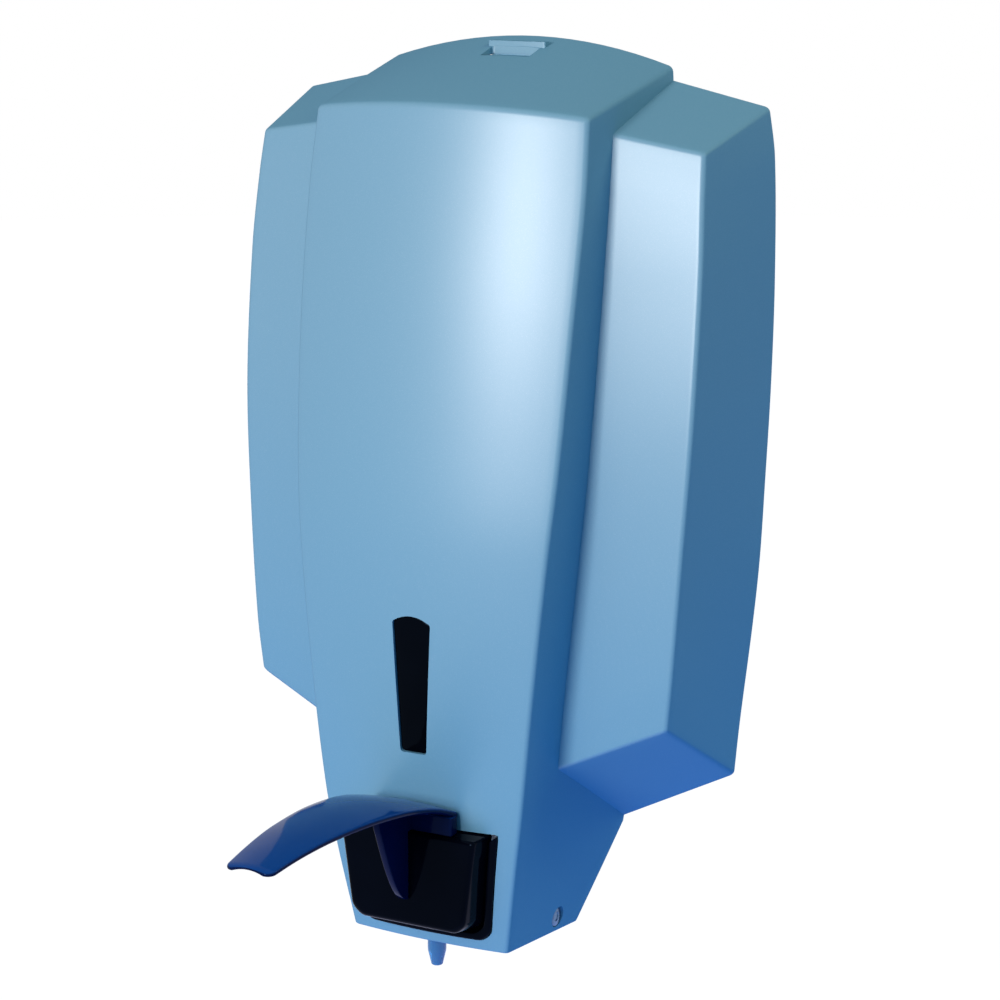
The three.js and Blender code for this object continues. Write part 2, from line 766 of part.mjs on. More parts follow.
function makePushPad() {
  const outer = loft([
    padRing(PAD_BACK, 0, 0, padHigh),
    padRing(PAD_FRONT, PAD_TAPER, PAD_LIFT, padHigh),
  ]);
  const ceiling = padHigh - PAD_WALL;
  const inner = loft([
    padRing(PAD_BACK - OVERRUN, PAD_WALL, 0, ceiling),
    padRing(PAD_FRONT - PAD_WALL, PAD_TAPER + PAD_WALL, PAD_LIFT, ceiling),
  ]);
  const rib = block(
    [-RIB_HALF_WIDTH, RIB_HALF_WIDTH],
    [-PAD_FRONT + PAD_WALL / 2, -PUSH_DEPTH],
    [PUMP_HEIGHT - RIB_HALF_HEIGHT, PUMP_HEIGHT + RIB_HALF_HEIGHT],
  );
  let pad = joined(cut(outer, inner), rib);
  for (const side of [-1, 1]) {
    const lug = [
      [-PIVOT_DEPTH + PIVOT_LUG_RADIUS, PIVOT_HEIGHT - PIVOT_LUG_RADIUS],
      [-PIVOT_DEPTH + PIVOT_LUG_RADIUS, PIVOT_HEIGHT + PIVOT_LUG_RADIUS / 2],
      [-PIVOT_DEPTH + PIVOT_LUG_RADIUS / 2, PIVOT_HEIGHT + PIVOT_LUG_RADIUS],
      [-PIVOT_DEPTH - PIVOT_LUG_RADIUS / 2, PIVOT_HEIGHT + PIVOT_LUG_RADIUS],
      [-PIVOT_DEPTH - PIVOT_LUG_RADIUS, PIVOT_HEIGHT],
      [-PAD_BACK, padHigh - GAP],
      [-PAD_BACK - PAD_WALL, padHigh - GAP],
      [-PAD_BACK - PAD_WALL * 2, ceiling + GAP],
      [-PAD_BACK - PAD_WALL, padHigh - PAD_WALL * 4],
    ];
    pad = pad.add(sidePrism(lug, side, PIVOT_LUG_PLACE, PIVOT_LUG_PLACE + PIVOT_LUG_THICK));
  }
  const bore = PIVOT_PIN_RADIUS + RUNNING_GAP;
  pad = pad.subtract(
    drum("x", [-PIVOT_DEPTH, PIVOT_HEIGHT], bore, -PIVOT_PIN_HALF, PIVOT_PIN_HALF),
  );
  for (const side of [-1, 1]) {
    const centre = [side * LEVER_SCREW_X, -leverScrewDepth];
    const radius = LEVER_SCREW.shank + GAP;
    pad = pad.subtract(drum("z", centre, radius, padHigh - PAD_WALL * 2, padHigh + OVERRUN));
  }
  return pad;
}

function makePadPin() {
  return drum("x", [-PIVOT_DEPTH, PIVOT_HEIGHT], PIVOT_PIN_RADIUS, -PIVOT_PIN_HALF, PIVOT_PIN_HALF);
}

const leverScrewDepth = PAD_FRONT - PAD_WALL - LEVER_SCREW.head - GAP;

// One cross-section of the lever: an arched plate, thinner towards the tip.
function leverRing(share, height, halfShare) {
  const depth = mix(LEVER_ROOT_DEPTH, LEVER_REACH, share);
  const edge = LEVER_ROOT_HEIGHT + height * LEVER_RISE;
  const half = LEVER_ROOT_HALF * halfShare;
  const thick = mix(LEVER_ROOT_THICK, LEVER_TIP_THICK, share);
  const top = LEVER_ACROSS_SHARES.map((a) => [a * half, -depth, edge + LEVER_CROWN * (1 - a * a)]);
  const under = LEVER_ACROSS_SHARES.map((a) => [a * half, -depth, edge + LEVER_CROWN * (1 - a * a) - thick]);
  return [...top, ...under.reverse()];
}

function makeElbowLever() {
  const rows = Array.from({ length: LEVER_ROWS + 1 }, (_, i) => {
    const share = i / LEVER_ROWS;
    return leverRing(share, reading(LEVER_EDGE_SHARES, share, 1), reading(LEVER_EDGE_SHARES, share, 2));
  });
  const flangeLow = padHigh + GAP;
  const flange = block(
    [-LEVER_ROOT_HALF, LEVER_ROOT_HALF],
    [-LEVER_FLANGE_FRONT, -LEVER_ROOT_DEPTH],
    [flangeLow, LEVER_ROOT_HEIGHT - LEVER_ROOT_THICK / 2],
  );
  const faceDepth = PAD_FRONT + GAP;
  const webTop = LEVER_ROOT_HEIGHT + LEVER_CROWN - LEVER_TIP_THICK;
  const webDrop = webTop - LEVER_WEB_LOW;
  const curve = WEB_CURVE_SHARES.map((share) => [
    -mix(LEVER_WEB_REACH, faceDepth, share),
    webTop - webDrop * Math.sin((share * Math.PI) / 2),
  ]);
  const webShare = (LEVER_WEB_REACH - LEVER_ROOT_DEPTH) / (LEVER_REACH - LEVER_ROOT_DEPTH);
  const underside = [1 / 3, 2 / 3, 1].map((share) => [
    -mix(LEVER_ROOT_DEPTH, LEVER_WEB_REACH, share),
    webTop + LEVER_RISE * reading(LEVER_EDGE_SHARES, share * webShare, 1),
  ]);
  const rear = -LEVER_FLANGE_FRONT + LEVER_ROOT_THICK;
  const web = prism(
    "x",
    [...curve, [-faceDepth, flangeLow], [rear, flangeLow], [rear, webTop], ...underside],
    -LEVER_WEB_THICK / 2,
    LEVER_WEB_THICK / 2,
  );
  let lever = joined(loft(rows), flange, web);
  for (const side of [-1, 1]) {
    const centre = [side * LEVER_SCREW_X, -leverScrewDepth];
    const top = flangeLow + LEVER_SCREW_BITE + GAP;
    lever = lever.subtract(drum("z", centre, LEVER_SCREW.shank + RUNNING_GAP, flangeLow - OVERRUN, top));
  }
  return lever;
}

// A screw of a size with a cross in its head: seat is where the head rests, and way is +1 or
// -1 for the way it points along its axis.
function screw(size, axis, centre, seat, way, length) {
  const head = [seat - way * size.height, seat];
  const shank = [seat - (way * size.height) / 2, seat + way * length];
  const low = (pair) => Math.min(...pair);
  const high = (pair) => Math.max(...pair);
  const top = seat - way * size.height;
  const slotEnds = [top - way * OVERRUN, top + (way * size.height) / 2];
  const [arm, half] = CROSS_SHARES.map((share) => size.head * share);
  const bar = (a, b) => {
    const outline = [
      [centre[0] - a, centre[1] - b],
      [centre[0] + a, centre[1] - b],
      [centre[0] + a, centre[1] + b],
      [centre[0] - a, centre[1] + b],
    ];
    return prism(axis, outline, low(slotEnds), high(slotEnds));
  };
  const body = joined(
    drum(axis, centre, size.head, low(head), high(head), SEAL_STEPS),
    drum(axis, centre, size.shank, low(shank), high(shank), SCREW_STEPS),
  );
  return cut(body, bar(arm, half), bar(half, arm));
}

function makeLeverScrew(side) {
  const seat = padHigh - PAD_WALL - GAP;
  const length = GAP + PAD_WALL + GAP + LEVER_SCREW_BITE;
  return screw(LEVER_SCREW, "z", [side * LEVER_SCREW_X, -leverScrewDepth], seat, 1, length);
}

// Pump

const pumpCentre = [0, PUMP_HEIGHT];
const glandBack = PUMP_FRONT + GAP;
const glandFront = glandBack + GLAND_FACE;

function makePumpBody() {
  const cylinder = turned("y", pumpCentre, [
    [0, -PUMP_BACK],
    [PUMP_RADIUS, -PUMP_BACK],
    [PUMP_RADIUS, -PUMP_FRONT],
    [PUMP_BORE, -PUMP_FRONT],
    [PUMP_BORE, -PUMP_BACK - PUMP_END_WALL],
    [0, -PUMP_BACK - PUMP_END_WALL],
  ]);
  const centre = [0, -INLET_DEPTH];
  const boss = drum("z", centre, INLET_RADIUS, PUMP_HEIGHT, INLET_TOP);
  const bore = turned("y", pumpCentre, [
    [0, -PUMP_FRONT - OVERRUN],
    [PUMP_BORE, -PUMP_FRONT - OVERRUN],
    [PUMP_BORE, -PUMP_BACK - PUMP_END_WALL],
    [0, -PUMP_BACK - PUMP_END_WALL],
  ]);
  const passage = turned("z", centre, [
    [0, PUMP_HEIGHT],
    [INLET_BORE, PUMP_HEIGHT],
    [INLET_BORE, CAGE_LOW],
    [CAGE_RADIUS, CAGE_LOW],
    [CAGE_RADIUS, CAGE_HIGH],
    [INLET_BORE, CAGE_HIGH],
    [INLET_BORE, SOCKET_LOW],
    [socketRadius, SOCKET_LOW],
    [socketRadius, INLET_TOP + OVERRUN],
    [0, INLET_TOP + OVERRUN],
  ]);
  return cut(joined(cylinder, boss), bore, passage);
}

// The ring between two round walls leaves the gap to both.
const sealRadius = SEAL_THICK / 2;
const socketRadius = OUTLET_RADIUS + SEAL_THICK + GAP * 2;

function makeOutletSeal() {
  const radius = OUTLET_RADIUS + GAP + sealRadius;
  return ring("z", [0, -INLET_DEPTH], radius, sealRadius, INLET_TOP - SEAL_THICK * 3);
}

function makeInletBall() {
  const seat = Math.sqrt(BALL_RADIUS * BALL_RADIUS - INLET_BORE * INLET_BORE);
  const ball = new THREE.SphereGeometry(BALL_RADIUS, SCREW_STEPS, BALL_STEPS);
  ball.translate(0, -INLET_DEPTH, CAGE_HIGH - seat - GAP * 2);
  return solid(ball);
}

function makePumpGland() {
  const inner = ROD_RADIUS + RUNNING_GAP;
  const skirt = PUMP_RADIUS + GAP;
  return turned("y", pumpCentre, [
    [inner, -glandFront],
    [GLAND_RADIUS, -glandFront],
    [GLAND_RADIUS, -glandBack + GLAND_SKIRT],
    [skirt, -glandBack + GLAND_SKIRT],
    [skirt, -glandBack],
    [inner, -glandBack],
    [inner, -glandFront],
  ]);
}

const pistonFront = PISTON_BACK + PISTON_LENGTH;
const pistonMiddle = PISTON_BACK + PISTON_LENGTH / 2;
const grooveRadius = PUMP_BORE - SEAL_THICK - GAP * 2;
const rodEnd = SPOUT_BACK + ROD_SOCKET - GAP;

function makePlunger() {
  const piston = PUMP_BORE - PISTON_CLEARANCE;
  const half = sealRadius + GAP;
  return turned("y", pumpCentre, [
    [ROD_BORE, -rodEnd],
    [ROD_RADIUS, -rodEnd],
    [ROD_RADIUS, -pistonFront],
    [piston, -pistonFront],
    [piston, -pistonMiddle - half],
    [grooveRadius, -pistonMiddle - half],
    [grooveRadius, -pistonMiddle + half],
    [piston, -pistonMiddle + half],
    [piston, -PISTON_BACK],
    [ROD_BORE, -PISTON_BACK],
    [ROD_BORE, -rodEnd],
  ]);
}

function makePistonSeal() {
  return ring("y", pumpCentre, grooveRadius + GAP + sealRadius, sealRadius, -pistonMiddle);
}

// A wire wound round an axis in TURN_STEPS straight steps a turn, with WIRE_SIDES sides. The
// least distance between two turns is measured on its points and printed.
function coil(name, axis, centre, radius, wire, turns, from, to) {
  const steps = TURN_STEPS * turns;
  const points = Array.from({ length: steps + 1 }, (_, i) => {
    const angle = (2 * Math.PI * i) / TURN_STEPS;
    const along = mix(from + wire / 2, to - wire / 2, i / steps);
    const [a, b] = [centre[0] + radius * Math.cos(angle), centre[1] + radius * Math.sin(angle)];
    const frame = { out: [Math.cos(angle), Math.sin(angle)], along };
    return { a, b, ...frame };
  });
  const order = (a, b, along) => (axis === "y" ? [a, along, b] : [a, b, along]);
  const rows = points.map(({ a, b, out, along }) =>
    Array.from({ length: WIRE_SIDES }, (_, k) => {
      const turn = (2 * Math.PI * k) / WIRE_SIDES;
      const reach = (wire / 2) * Math.cos(turn);
      return order(a + out[0] * reach, b + out[1] * reach, along + (wire / 2) * Math.sin(turn));
    }),
  );
  let least = Infinity;
  points.forEach((p, i) =>
    points.slice(i + TURN_STEPS - 2).forEach((q) => {
      least = Math.min(least, Math.hypot(p.a - q.a, p.b - q.b, p.along - q.along) - wire);
    }),
  );
  console.log(`${name}: least gap between turns ${least.toFixed(2)} mm`);
  return loft(rows);
}

function makeReturnSpring() {
  const span = [-SPOUT_BACK + GAP, -glandFront - GAP];
  return coil("return_spring", "y", pumpCentre, SPRING_RADIUS, SPRING_WIRE, SPRING_TURNS, ...span);
}

function makeSpout() {
  const front = PUSH_DEPTH - GAP;
  const domeCentre = front - SPOUT_HEAD_RADIUS;
  const dome = Array.from({ length: DOME_STEPS + 1 }, (_, i) => {
    const angle = (i * Math.PI) / 2 / DOME_STEPS;
    return [SPOUT_HEAD_RADIUS * Math.sin(angle), -domeCentre - SPOUT_HEAD_RADIUS * Math.cos(angle)];
  });
  const head = turned("y", pumpCentre, [...dome, [SPOUT_HEAD_RADIUS, -SPOUT_BACK], [0, -SPOUT_BACK]]);
  const centre = [0, -SPOUT_DEPTH];
  const column = turned("z", centre, [
    [0, SPOUT_TIP],
    [SPOUT_TIP_RADIUS, SPOUT_TIP],
    [SPOUT_RADIUS, SPOUT_TAPER_TOP],
    [SPOUT_RADIUS, PUMP_HEIGHT],
    [0, PUMP_HEIGHT],
  ]);
  const down = turned("z", centre, [
    [0, SPOUT_TIP - OVERRUN],
    [SPOUT_BORE, SPOUT_TIP - OVERRUN],
    [SPOUT_BORE, VALVE_LOW - GAP],
    [VALVE_RADIUS + GAP, VALVE_LOW - GAP],
    [VALVE_RADIUS + GAP, PUMP_HEIGHT],
    [0, PUMP_HEIGHT],
  ]);
  const socket = drum("y", pumpCentre, ROD_RADIUS + GAP, -SPOUT_BACK - ROD_SOCKET, -SPOUT_BACK + OVERRUN);
  const link = drum("y", pumpCentre, ROD_BORE, -SPOUT_DEPTH, -SPOUT_BACK);
  return cut(joined(head, column), down, socket, link);
}

function makeOutletValve() {
  return turned(
    "z",
    [0, -SPOUT_DEPTH],
    [
      [VALVE_BORE, VALVE_LOW],
      [VALVE_RADIUS, VALVE_LOW],
      [VALVE_RADIUS, VALVE_SHOULDER],
      [SPOUT_BORE, VALVE_HIGH],
      [VALVE_BORE, VALVE_HIGH],
      [VALVE_BORE, VALVE_LOW],
    ],
    SEAL_STEPS,
  );
}

// Cradle and hinge pins

const plateFront = -PLATE_THICK;
const seatBack = plateFront - GAP;
const hingeX = sideWallX(HINGE_DEPTH, HINGE_HEIGHT);

function makePumpCradle() {
  const eye = HINGE_EYE_RADIUS;
  const cheek = [
    [seatBack, CHEEK_TOP],
    [seatBack, PLATE_LOW],
    [-HEEL_FORWARD - FOOT_DROP, HINGE_HEIGHT - eye + GAP],
    [-HINGE_DEPTH + eye / 2, HINGE_HEIGHT - eye],
    [-HINGE_DEPTH - eye / 2, HINGE_HEIGHT - eye],
    [-HINGE_DEPTH - eye, HINGE_HEIGHT],
    [-HINGE_DEPTH - eye, PUMP_HEIGHT],
    [seatBack - CHEEK_FOOT, CHEEK_TOP],
  ];
  const outer = CHEEK_PLACE + CHEEK_THICK;
  const floor = block(
    [-outer, outer],
    [-HINGE_DEPTH - eye, -HEEL_FORWARD],
    [CRADLE_FLOOR - CRADLE_FLOOR_THICK, CRADLE_FLOOR],
  );
  const flange = block([-outer, outer], [seatBack - SHELF_FLANGE_THICK, seatBack], [PLATE_LOW, CHEEK_TOP]);
  let cradle = joined(
    prism("x", cheek, CHEEK_PLACE, outer),
    prism("x", cheek, -outer, -CHEEK_PLACE),
    floor,
    flange,
  );
  const saddle = drum("y", pumpCentre, PUMP_RADIUS + GAP, -PUMP_FRONT, 0);
  for (const depth of [PUMP_FRONT - GLAND_SKIRT - CRADLE_RIB_THICK, PUMP_BACK + CRADLE_RIB_THICK * 2]) {
    const rib = block(
      [-CHEEK_PLACE - GAP, CHEEK_PLACE + GAP],
      [-depth - CRADLE_RIB_THICK / 2, -depth + CRADLE_RIB_THICK / 2],
      [CRADLE_FLOOR - GAP, PUMP_HEIGHT - GAP],
    );
    cradle = cradle.add(rib.subtract(saddle));
  }
  const eyeHole = drum(
    "x",
    [-HINGE_DEPTH, HINGE_HEIGHT],
    HINGE_PIN_RADIUS + GAP,
    -outer - OVERRUN,
    outer + OVERRUN,
  );
  cradle = cradle.subtract(eyeHole);
  for (const side of [-1, 1]) cradle = cradle.subtract(clearHole(side * CRADLE_SCREW_X, CRADLE_SCREW_HEIGHT));
  return cradle;
}

function clearHole(x, z) {
  const front = seatBack - SHELF_FLANGE_THICK - OVERRUN;
  return drum("y", [x, z], PLATE_SCREW.shank + GAP, front, seatBack + OVERRUN, SCREW_STEPS);
}

function makePlateScrew(x, z) {
  const seat = seatBack - SHELF_FLANGE_THICK - GAP;
  return screw(PLATE_SCREW, "y", [x, z], seat, 1, SHELF_FLANGE_THICK + GAP * 2 + SCREW_SINK);
}

function makeHingePin(side) {
  const shoulder = hingeX - HINGE_HEAD_THICK + GAP;
  const profile = [
    [0, side * HINGE_PIN_INNER],
    [HINGE_PIN_RADIUS, side * HINGE_PIN_INNER],
    [HINGE_PIN_RADIUS, side * shoulder],
    [HINGE_HEAD_RADIUS, side * shoulder],
    [HINGE_HEAD_RADIUS, side * (hingeX - GAP)],
    [HINGE_HEAD_RADIUS - GAP, side * hingeX],
    [0, side * hingeX],
  ];
  return turned("x", [-HINGE_DEPTH, HINGE_HEIGHT], profile);
}

// Wall plate and shelf

function makeWallPlate() {
  const edge = WALL + PLATE_INSET;
  const foot = panelHalfWidth(PLATE_LOW) - edge;
  const sides = PLATE_SIDE_SHARES.map((share) => [
    WING_HALF_WIDTH * reading(WING_REAR_SHARES, share, 1) - edge,
    mix(WING_LOW.outerRear + PLATE_LIFT, WING_HIGH.outerRear - edge, share),
  ]);
  const outline = mirrored([
    [foot, PLATE_LOW],
    ...sides,
    [PANEL_HALF_WIDTH, PLATE_TOP - GAP],
    [PANEL_HALF_WIDTH / 2, PLATE_TOP],
  ]);
  let plate = prism("y", outline, plateFront, 0);
  for (const side of [-1, 1]) {
    const rib = block(
      [side * RIB_PLACE - PLATE_RIB / 2, side * RIB_PLACE + PLATE_RIB / 2],
      [-TANK_BACK + GAP, plateFront / 2],
      [SHELF_TOP + PLATE_RIB, TANK_HIGH],
    );
    plate = plate.add(rib);
  }
  plate = joined(plate, makeLatchGuide());
  for (const side of [-1, 1]) {
    for (const z of [WALL_HOLES_LOW, WALL_HOLES_HIGH]) {
      const centre = [side * WALL_HOLES_X, z];
      const hole = drum("y", centre, WALL_HOLE_RADIUS, plateFront - OVERRUN, OVERRUN, SEAL_STEPS);
      const sink = drum("y", centre, WALL_HOLE_SINK, plateFront - OVERRUN, plateFront / 2, SEAL_STEPS);
      plate = cut(plate, hole, sink);
    }
    const pilots = [
      [side * CRADLE_SCREW_X, CRADLE_SCREW_HEIGHT],
      [side * SHELF_SCREW_X, shelfScrewHeight],
    ];
    for (const centre of pilots) {
      const [near, far] = [plateFront - OVERRUN, seatBack + GAP * 2 + SCREW_SINK];
      plate = plate.subtract(drum("y", centre, PLATE_SCREW.shank + GAP, near, far, SCREW_STEPS));
    }
  }
  return plate;
}

// A block round the middle of the latch, grown sideways and in depth.
function latchBlock(grow, sideGrow, levels) {
  const half = LATCH_HALF_WIDTH + grow + sideGrow;
  const reach = LATCH_HALF_LENGTH + grow;
  return block([-half, half], [-LATCH_DEPTH - reach, -LATCH_DEPTH + reach], levels);
}

// The tongue's foot stays under the lips at the top of the guide.
function makeLatchGuide() {
  const half = LATCH_HALF_WIDTH + LATCH_FOOT + GAP + GUIDE_WALL;
  const reach = LATCH_HALF_LENGTH + GAP + GUIDE_WALL;
  const box = block([-half, half], [-LATCH_DEPTH - reach, plateFront / 2], [GUIDE_LOW, GUIDE_HIGH]);
  const lip = LATCH_STEM_LOW + LATCH_FOOT_HEIGHT + GAP;
  const room = latchBlock(GAP, LATCH_FOOT, [GUIDE_LOW + GUIDE_WALL, lip]);
  const mouth = latchBlock(GAP, 0, [GUIDE_LOW + GUIDE_WALL * 2, GUIDE_HIGH + OVERRUN]);
  return cut(box, room, mouth);
}

function makeLatchTongue() {
  const stem = latchBlock(0, 0, [LATCH_STEM_LOW, LATCH_TOP]);
  const foot = latchBlock(0, LATCH_FOOT, [LATCH_STEM_LOW, LATCH_STEM_LOW + LATCH_FOOT_HEIGHT]);
  const relief = block(
    [-LATCH_HALF_WIDTH + GUIDE_WALL, LATCH_HALF_WIDTH - GUIDE_WALL],
    [-LATCH_DEPTH - LATCH_HALF_LENGTH - OVERRUN, -LATCH_DEPTH],
    [GUIDE_HIGH + LATCH_TRAVEL, LATCH_TOP - GUIDE_WALL],
  );
  return joined(stem, foot).subtract(relief);
}

function makeLatchSpring() {
  const span = [GUIDE_LOW + GUIDE_WALL + GAP, LATCH_STEM_LOW - GAP];
  const centre = [0, -LATCH_DEPTH];
  return coil("latch_spring", "z", centre, LATCH_SPRING_RADIUS, LATCH_SPRING_WIRE, SPRING_TURNS, ...span);
}

const shelfFlangeLow = SHELF_TOP - SHELF_FLANGE_HEIGHT;
const shelfScrewHeight = shelfFlangeLow + SHELF_FLANGE_HEIGHT / 3;

function makeTankShelf() {
  const low = SHELF_TOP - SHELF_THICK;
  const flangeFront = seatBack - SHELF_FLANGE_THICK;
  const board = block([-SHELF_HALF_WIDTH, SHELF_HALF_WIDTH], [-SHELF_FRONT, seatBack], [low, SHELF_TOP]);
  const flange = block(
    [-SHELF_HALF_WIDTH, SHELF_HALF_WIDTH],
    [flangeFront, seatBack],
    [shelfFlangeLow, SHELF_TOP],
  );
  const gusset = [
    [seatBack, shelfFlangeLow],
    [flangeFront, shelfFlangeLow],
    [-SHELF_FRONT + SHELF_THICK, low + GAP],
    [seatBack, low + GAP],
  ];
  const hole = drum("z", [0, -INLET_DEPTH], SHELF_HOLE, low - OVERRUN, SHELF_TOP + OVERRUN);
  let shelf = joined(
    board,
    flange,
    prism("x", gusset, GUSSET_PLACE, GUSSET_PLACE + SHELF_FLANGE_THICK),
    prism("x", gusset, -GUSSET_PLACE - SHELF_FLANGE_THICK, -GUSSET_PLACE),
  ).subtract(hole);
  for (const side of [-1, 1]) {
    shelf = shelf.subtract(clearHole(side * SHELF_SCREW_X, shelfScrewHeight));
  }
  return shelf;
}

// Tank, drawn in by an inset for its hollow

const tankHalfWidth = WING_HALF_WIDTH - TANK_SIDE_CLEAR;

function tankForm(inset) {
  const away = WALL + TANK_FRONT_CLEAR + inset;
  const [low, high, back] = [TANK_LOW + inset, TANK_HIGH - inset, -TANK_BACK - inset];
  const levels = TANK_LEVEL_SHARES.map((share) => mix(low, high, share));
  const wingShare = (z) => (z - WING_LOW.outerFront) / (WING_HIGH.outerFront - WING_LOW.outerFront);
  const wingFront = levels.map((z) => [-WING_DEPTH * reading(WING_FRONT_SHARES, wingShare(z), 2) + away, z]);
  const panelFront = levels.map((z) => [-panelCornerDepth(z) + away, z]);
  const body = prism("x", [[back, low], ...wingFront, [back, high]], -tankHalfWidth, tankHalfWidth);
  const half = tankHalfWidth - inset;
  const outline = mirrored([
    [TANK_BULGE_HALF, low],
    [half, low + TANK_CHAMFER],
    [half, high - TANK_CHAMFER],
    [half - TANK_CHAMFER, high],
  ]);
  const bulgeHalf = TANK_BULGE_HALF - inset;
  const bulge = prism("x", [[back, low], ...panelFront, [back, high]], -bulgeHalf, bulgeHalf);
  return joined(body.intersect(prism("y", outline, -PANEL_DEPTH, 0)), bulge);
}

function makeTank() {
  const outletCentre = [0, -INLET_DEPTH];
  const fillerCentre = [0, -FILLER_DEPTH];
  const shell = cut(tankForm(0), tankForm(TANK_WALL));
  const outlet = drum("z", outletCentre, OUTLET_RADIUS, OUTLET_LOW, TANK_LOW + TANK_WALL / 2);
  const filler = drum("z", fillerCentre, FILLER_RADIUS, TANK_HIGH - TANK_WALL / 2, fillerTop);
  return cut(
    joined(shell, outlet, filler),
    drum("z", outletCentre, OUTLET_BORE, OUTLET_LOW - OVERRUN, TANK_LOW + TANK_WALL * 2),
    drum("z", fillerCentre, FILLER_RADIUS - FILLER_WALL, TANK_HIGH - TANK_WALL * 2, fillerTop + OVERRUN),
  );
}

const fillerTop = TANK_HIGH + FILLER_HEIGHT;
const capUnder = fillerTop + FILLER_SEAL + GAP * 2;

function makeFillerSeal() {
  const [inner, outer] = [FILLER_RADIUS - FILLER_WALL + GAP, FILLER_RADIUS - GAP];
  const [low, high] = [fillerTop + GAP, fillerTop + GAP + FILLER_SEAL];
  return turned("z", [0, -FILLER_DEPTH], [
    [inner, low],
    [outer, low],
    [outer, high],
    [inner, high],
    [inner, low],
  ]);
}

function makeFillerCap() {
  const centre = [0, -FILLER_DEPTH];
  const inner = FILLER_RADIUS + GAP;
  const outer = inner + CAP_WALL;
  const low = capUnder - CAP_SKIRT;
  let cap = turned("z", centre, [
    [0, capUnder],
    [inner, capUnder],
    [inner, low],
    [outer, low],
    [outer, capUnder + CAP_WALL - GAP],
    [outer - GAP, capUnder + CAP_WALL],
    [0, capUnder + CAP_WALL],
  ]);
  for (let i = 0; i < CAP_RIBS; i += 1) {
    const angle = (2 * Math.PI * i) / CAP_RIBS;
    const at = (radius, turn) => [
      centre[0] + radius * Math.cos(angle + turn),
      centre[1] + radius * Math.sin(angle + turn),
    ];
    const half = Math.PI / CAP_RIBS / 2;
    const rib = [at(outer - GAP, -half), at(outer + CAP_RIB, 0), at(outer - GAP, half)];
    cap = cap.add(prism("z", rib, low, capUnder));
  }
  return cap;
}

// The dispenser, set down so that the origin lies on the wall plate's back face

const dispenser = new THREE.Group();
dispenser.position.z = -MOUNT_HEIGHT;

dispenser.add(
  piece("wall_plate", makeWallPlate(), greyPlastic),
  piece("tank_shelf", makeTankShelf(), greyPlastic),
  piece("shelf_screw_left", makePlateScrew(-SHELF_SCREW_X, shelfScrewHeight), steel),
  piece("shelf_screw_right", makePlateScrew(SHELF_SCREW_X, shelfScrewHeight), steel),
  piece("pump_cradle", makePumpCradle(), greyPlastic),
  piece("cradle_screw_left", makePlateScrew(-CRADLE_SCREW_X, CRADLE_SCREW_HEIGHT), steel),
  piece("cradle_screw_right", makePlateScrew(CRADLE_SCREW_X, CRADLE_SCREW_HEIGHT), steel),
  piece("hinge_pin_left", makeHingePin(-1), steel),
  piece("hinge_pin_right", makeHingePin(1), steel),
  piece("tank", makeTank(), milkyPlastic),
  piece("filler_seal", makeFillerSeal(), blackRubber),
  piece("filler_cap", makeFillerCap(), darkBlueGloss),
  piece("outlet_seal", makeOutletSeal(), blackRubber),
  piece("pump_body", makePumpBody(), whitePlastic),
  piece("pump_gland", makePumpGland(), whitePlastic),
  piece("inlet_ball", makeInletBall(), steel),
  piece("plunger", makePlunger(), whitePlastic),
  piece("piston_seal", makePistonSeal(), blackRubber),
  piece("spout", makeSpout(), blueClear),
  piece("outlet_valve", makeOutletValve(), whitePlastic),
  piece("return_spring", makeReturnSpring(), steel),
  piece("latch_tongue", makeLatchTongue(), greyPlastic),
  piece("latch_spring", makeLatchSpring(), steel),
);

dispenser.add(
  piece("front_cover", makeFrontCover(), satinSilver),
  piece("window_lens", makeWindowLens(), smokedLens),
  piece("pad_frame", makePadFrame(), darkGloss),
  piece("pad_pin", makePadPin(), steel),
  piece("push_pad", makePushPad(), darkGloss),
  piece("elbow_lever", makeElbowLever(), darkBlueGloss),
  piece("lever_screw_left", makeLeverScrew(-1), steel),
  piece("lever_screw_right", makeLeverScrew(1), steel),
);

const root = new THREE.Group();
root.add(dispenser);

export default root;
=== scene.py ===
# %% [markdown]
# # An elbow lever soap dispenser
# The real object is a tall moulded cover in satin metallic paint, with a raised middle and two
# wings set back from it. Low in the middle sits a glossy black pad with a long arched lever.
# The plain solids are loaded first and stay as they are. Each one is then dressed by a finer
# piece that stands in the same place, because a finer piece can't drift from its carrier.

# %% Load the plain solids
import json
import math

import bmesh
import bpy
import numpy as np
from mathutils import Matrix, Vector


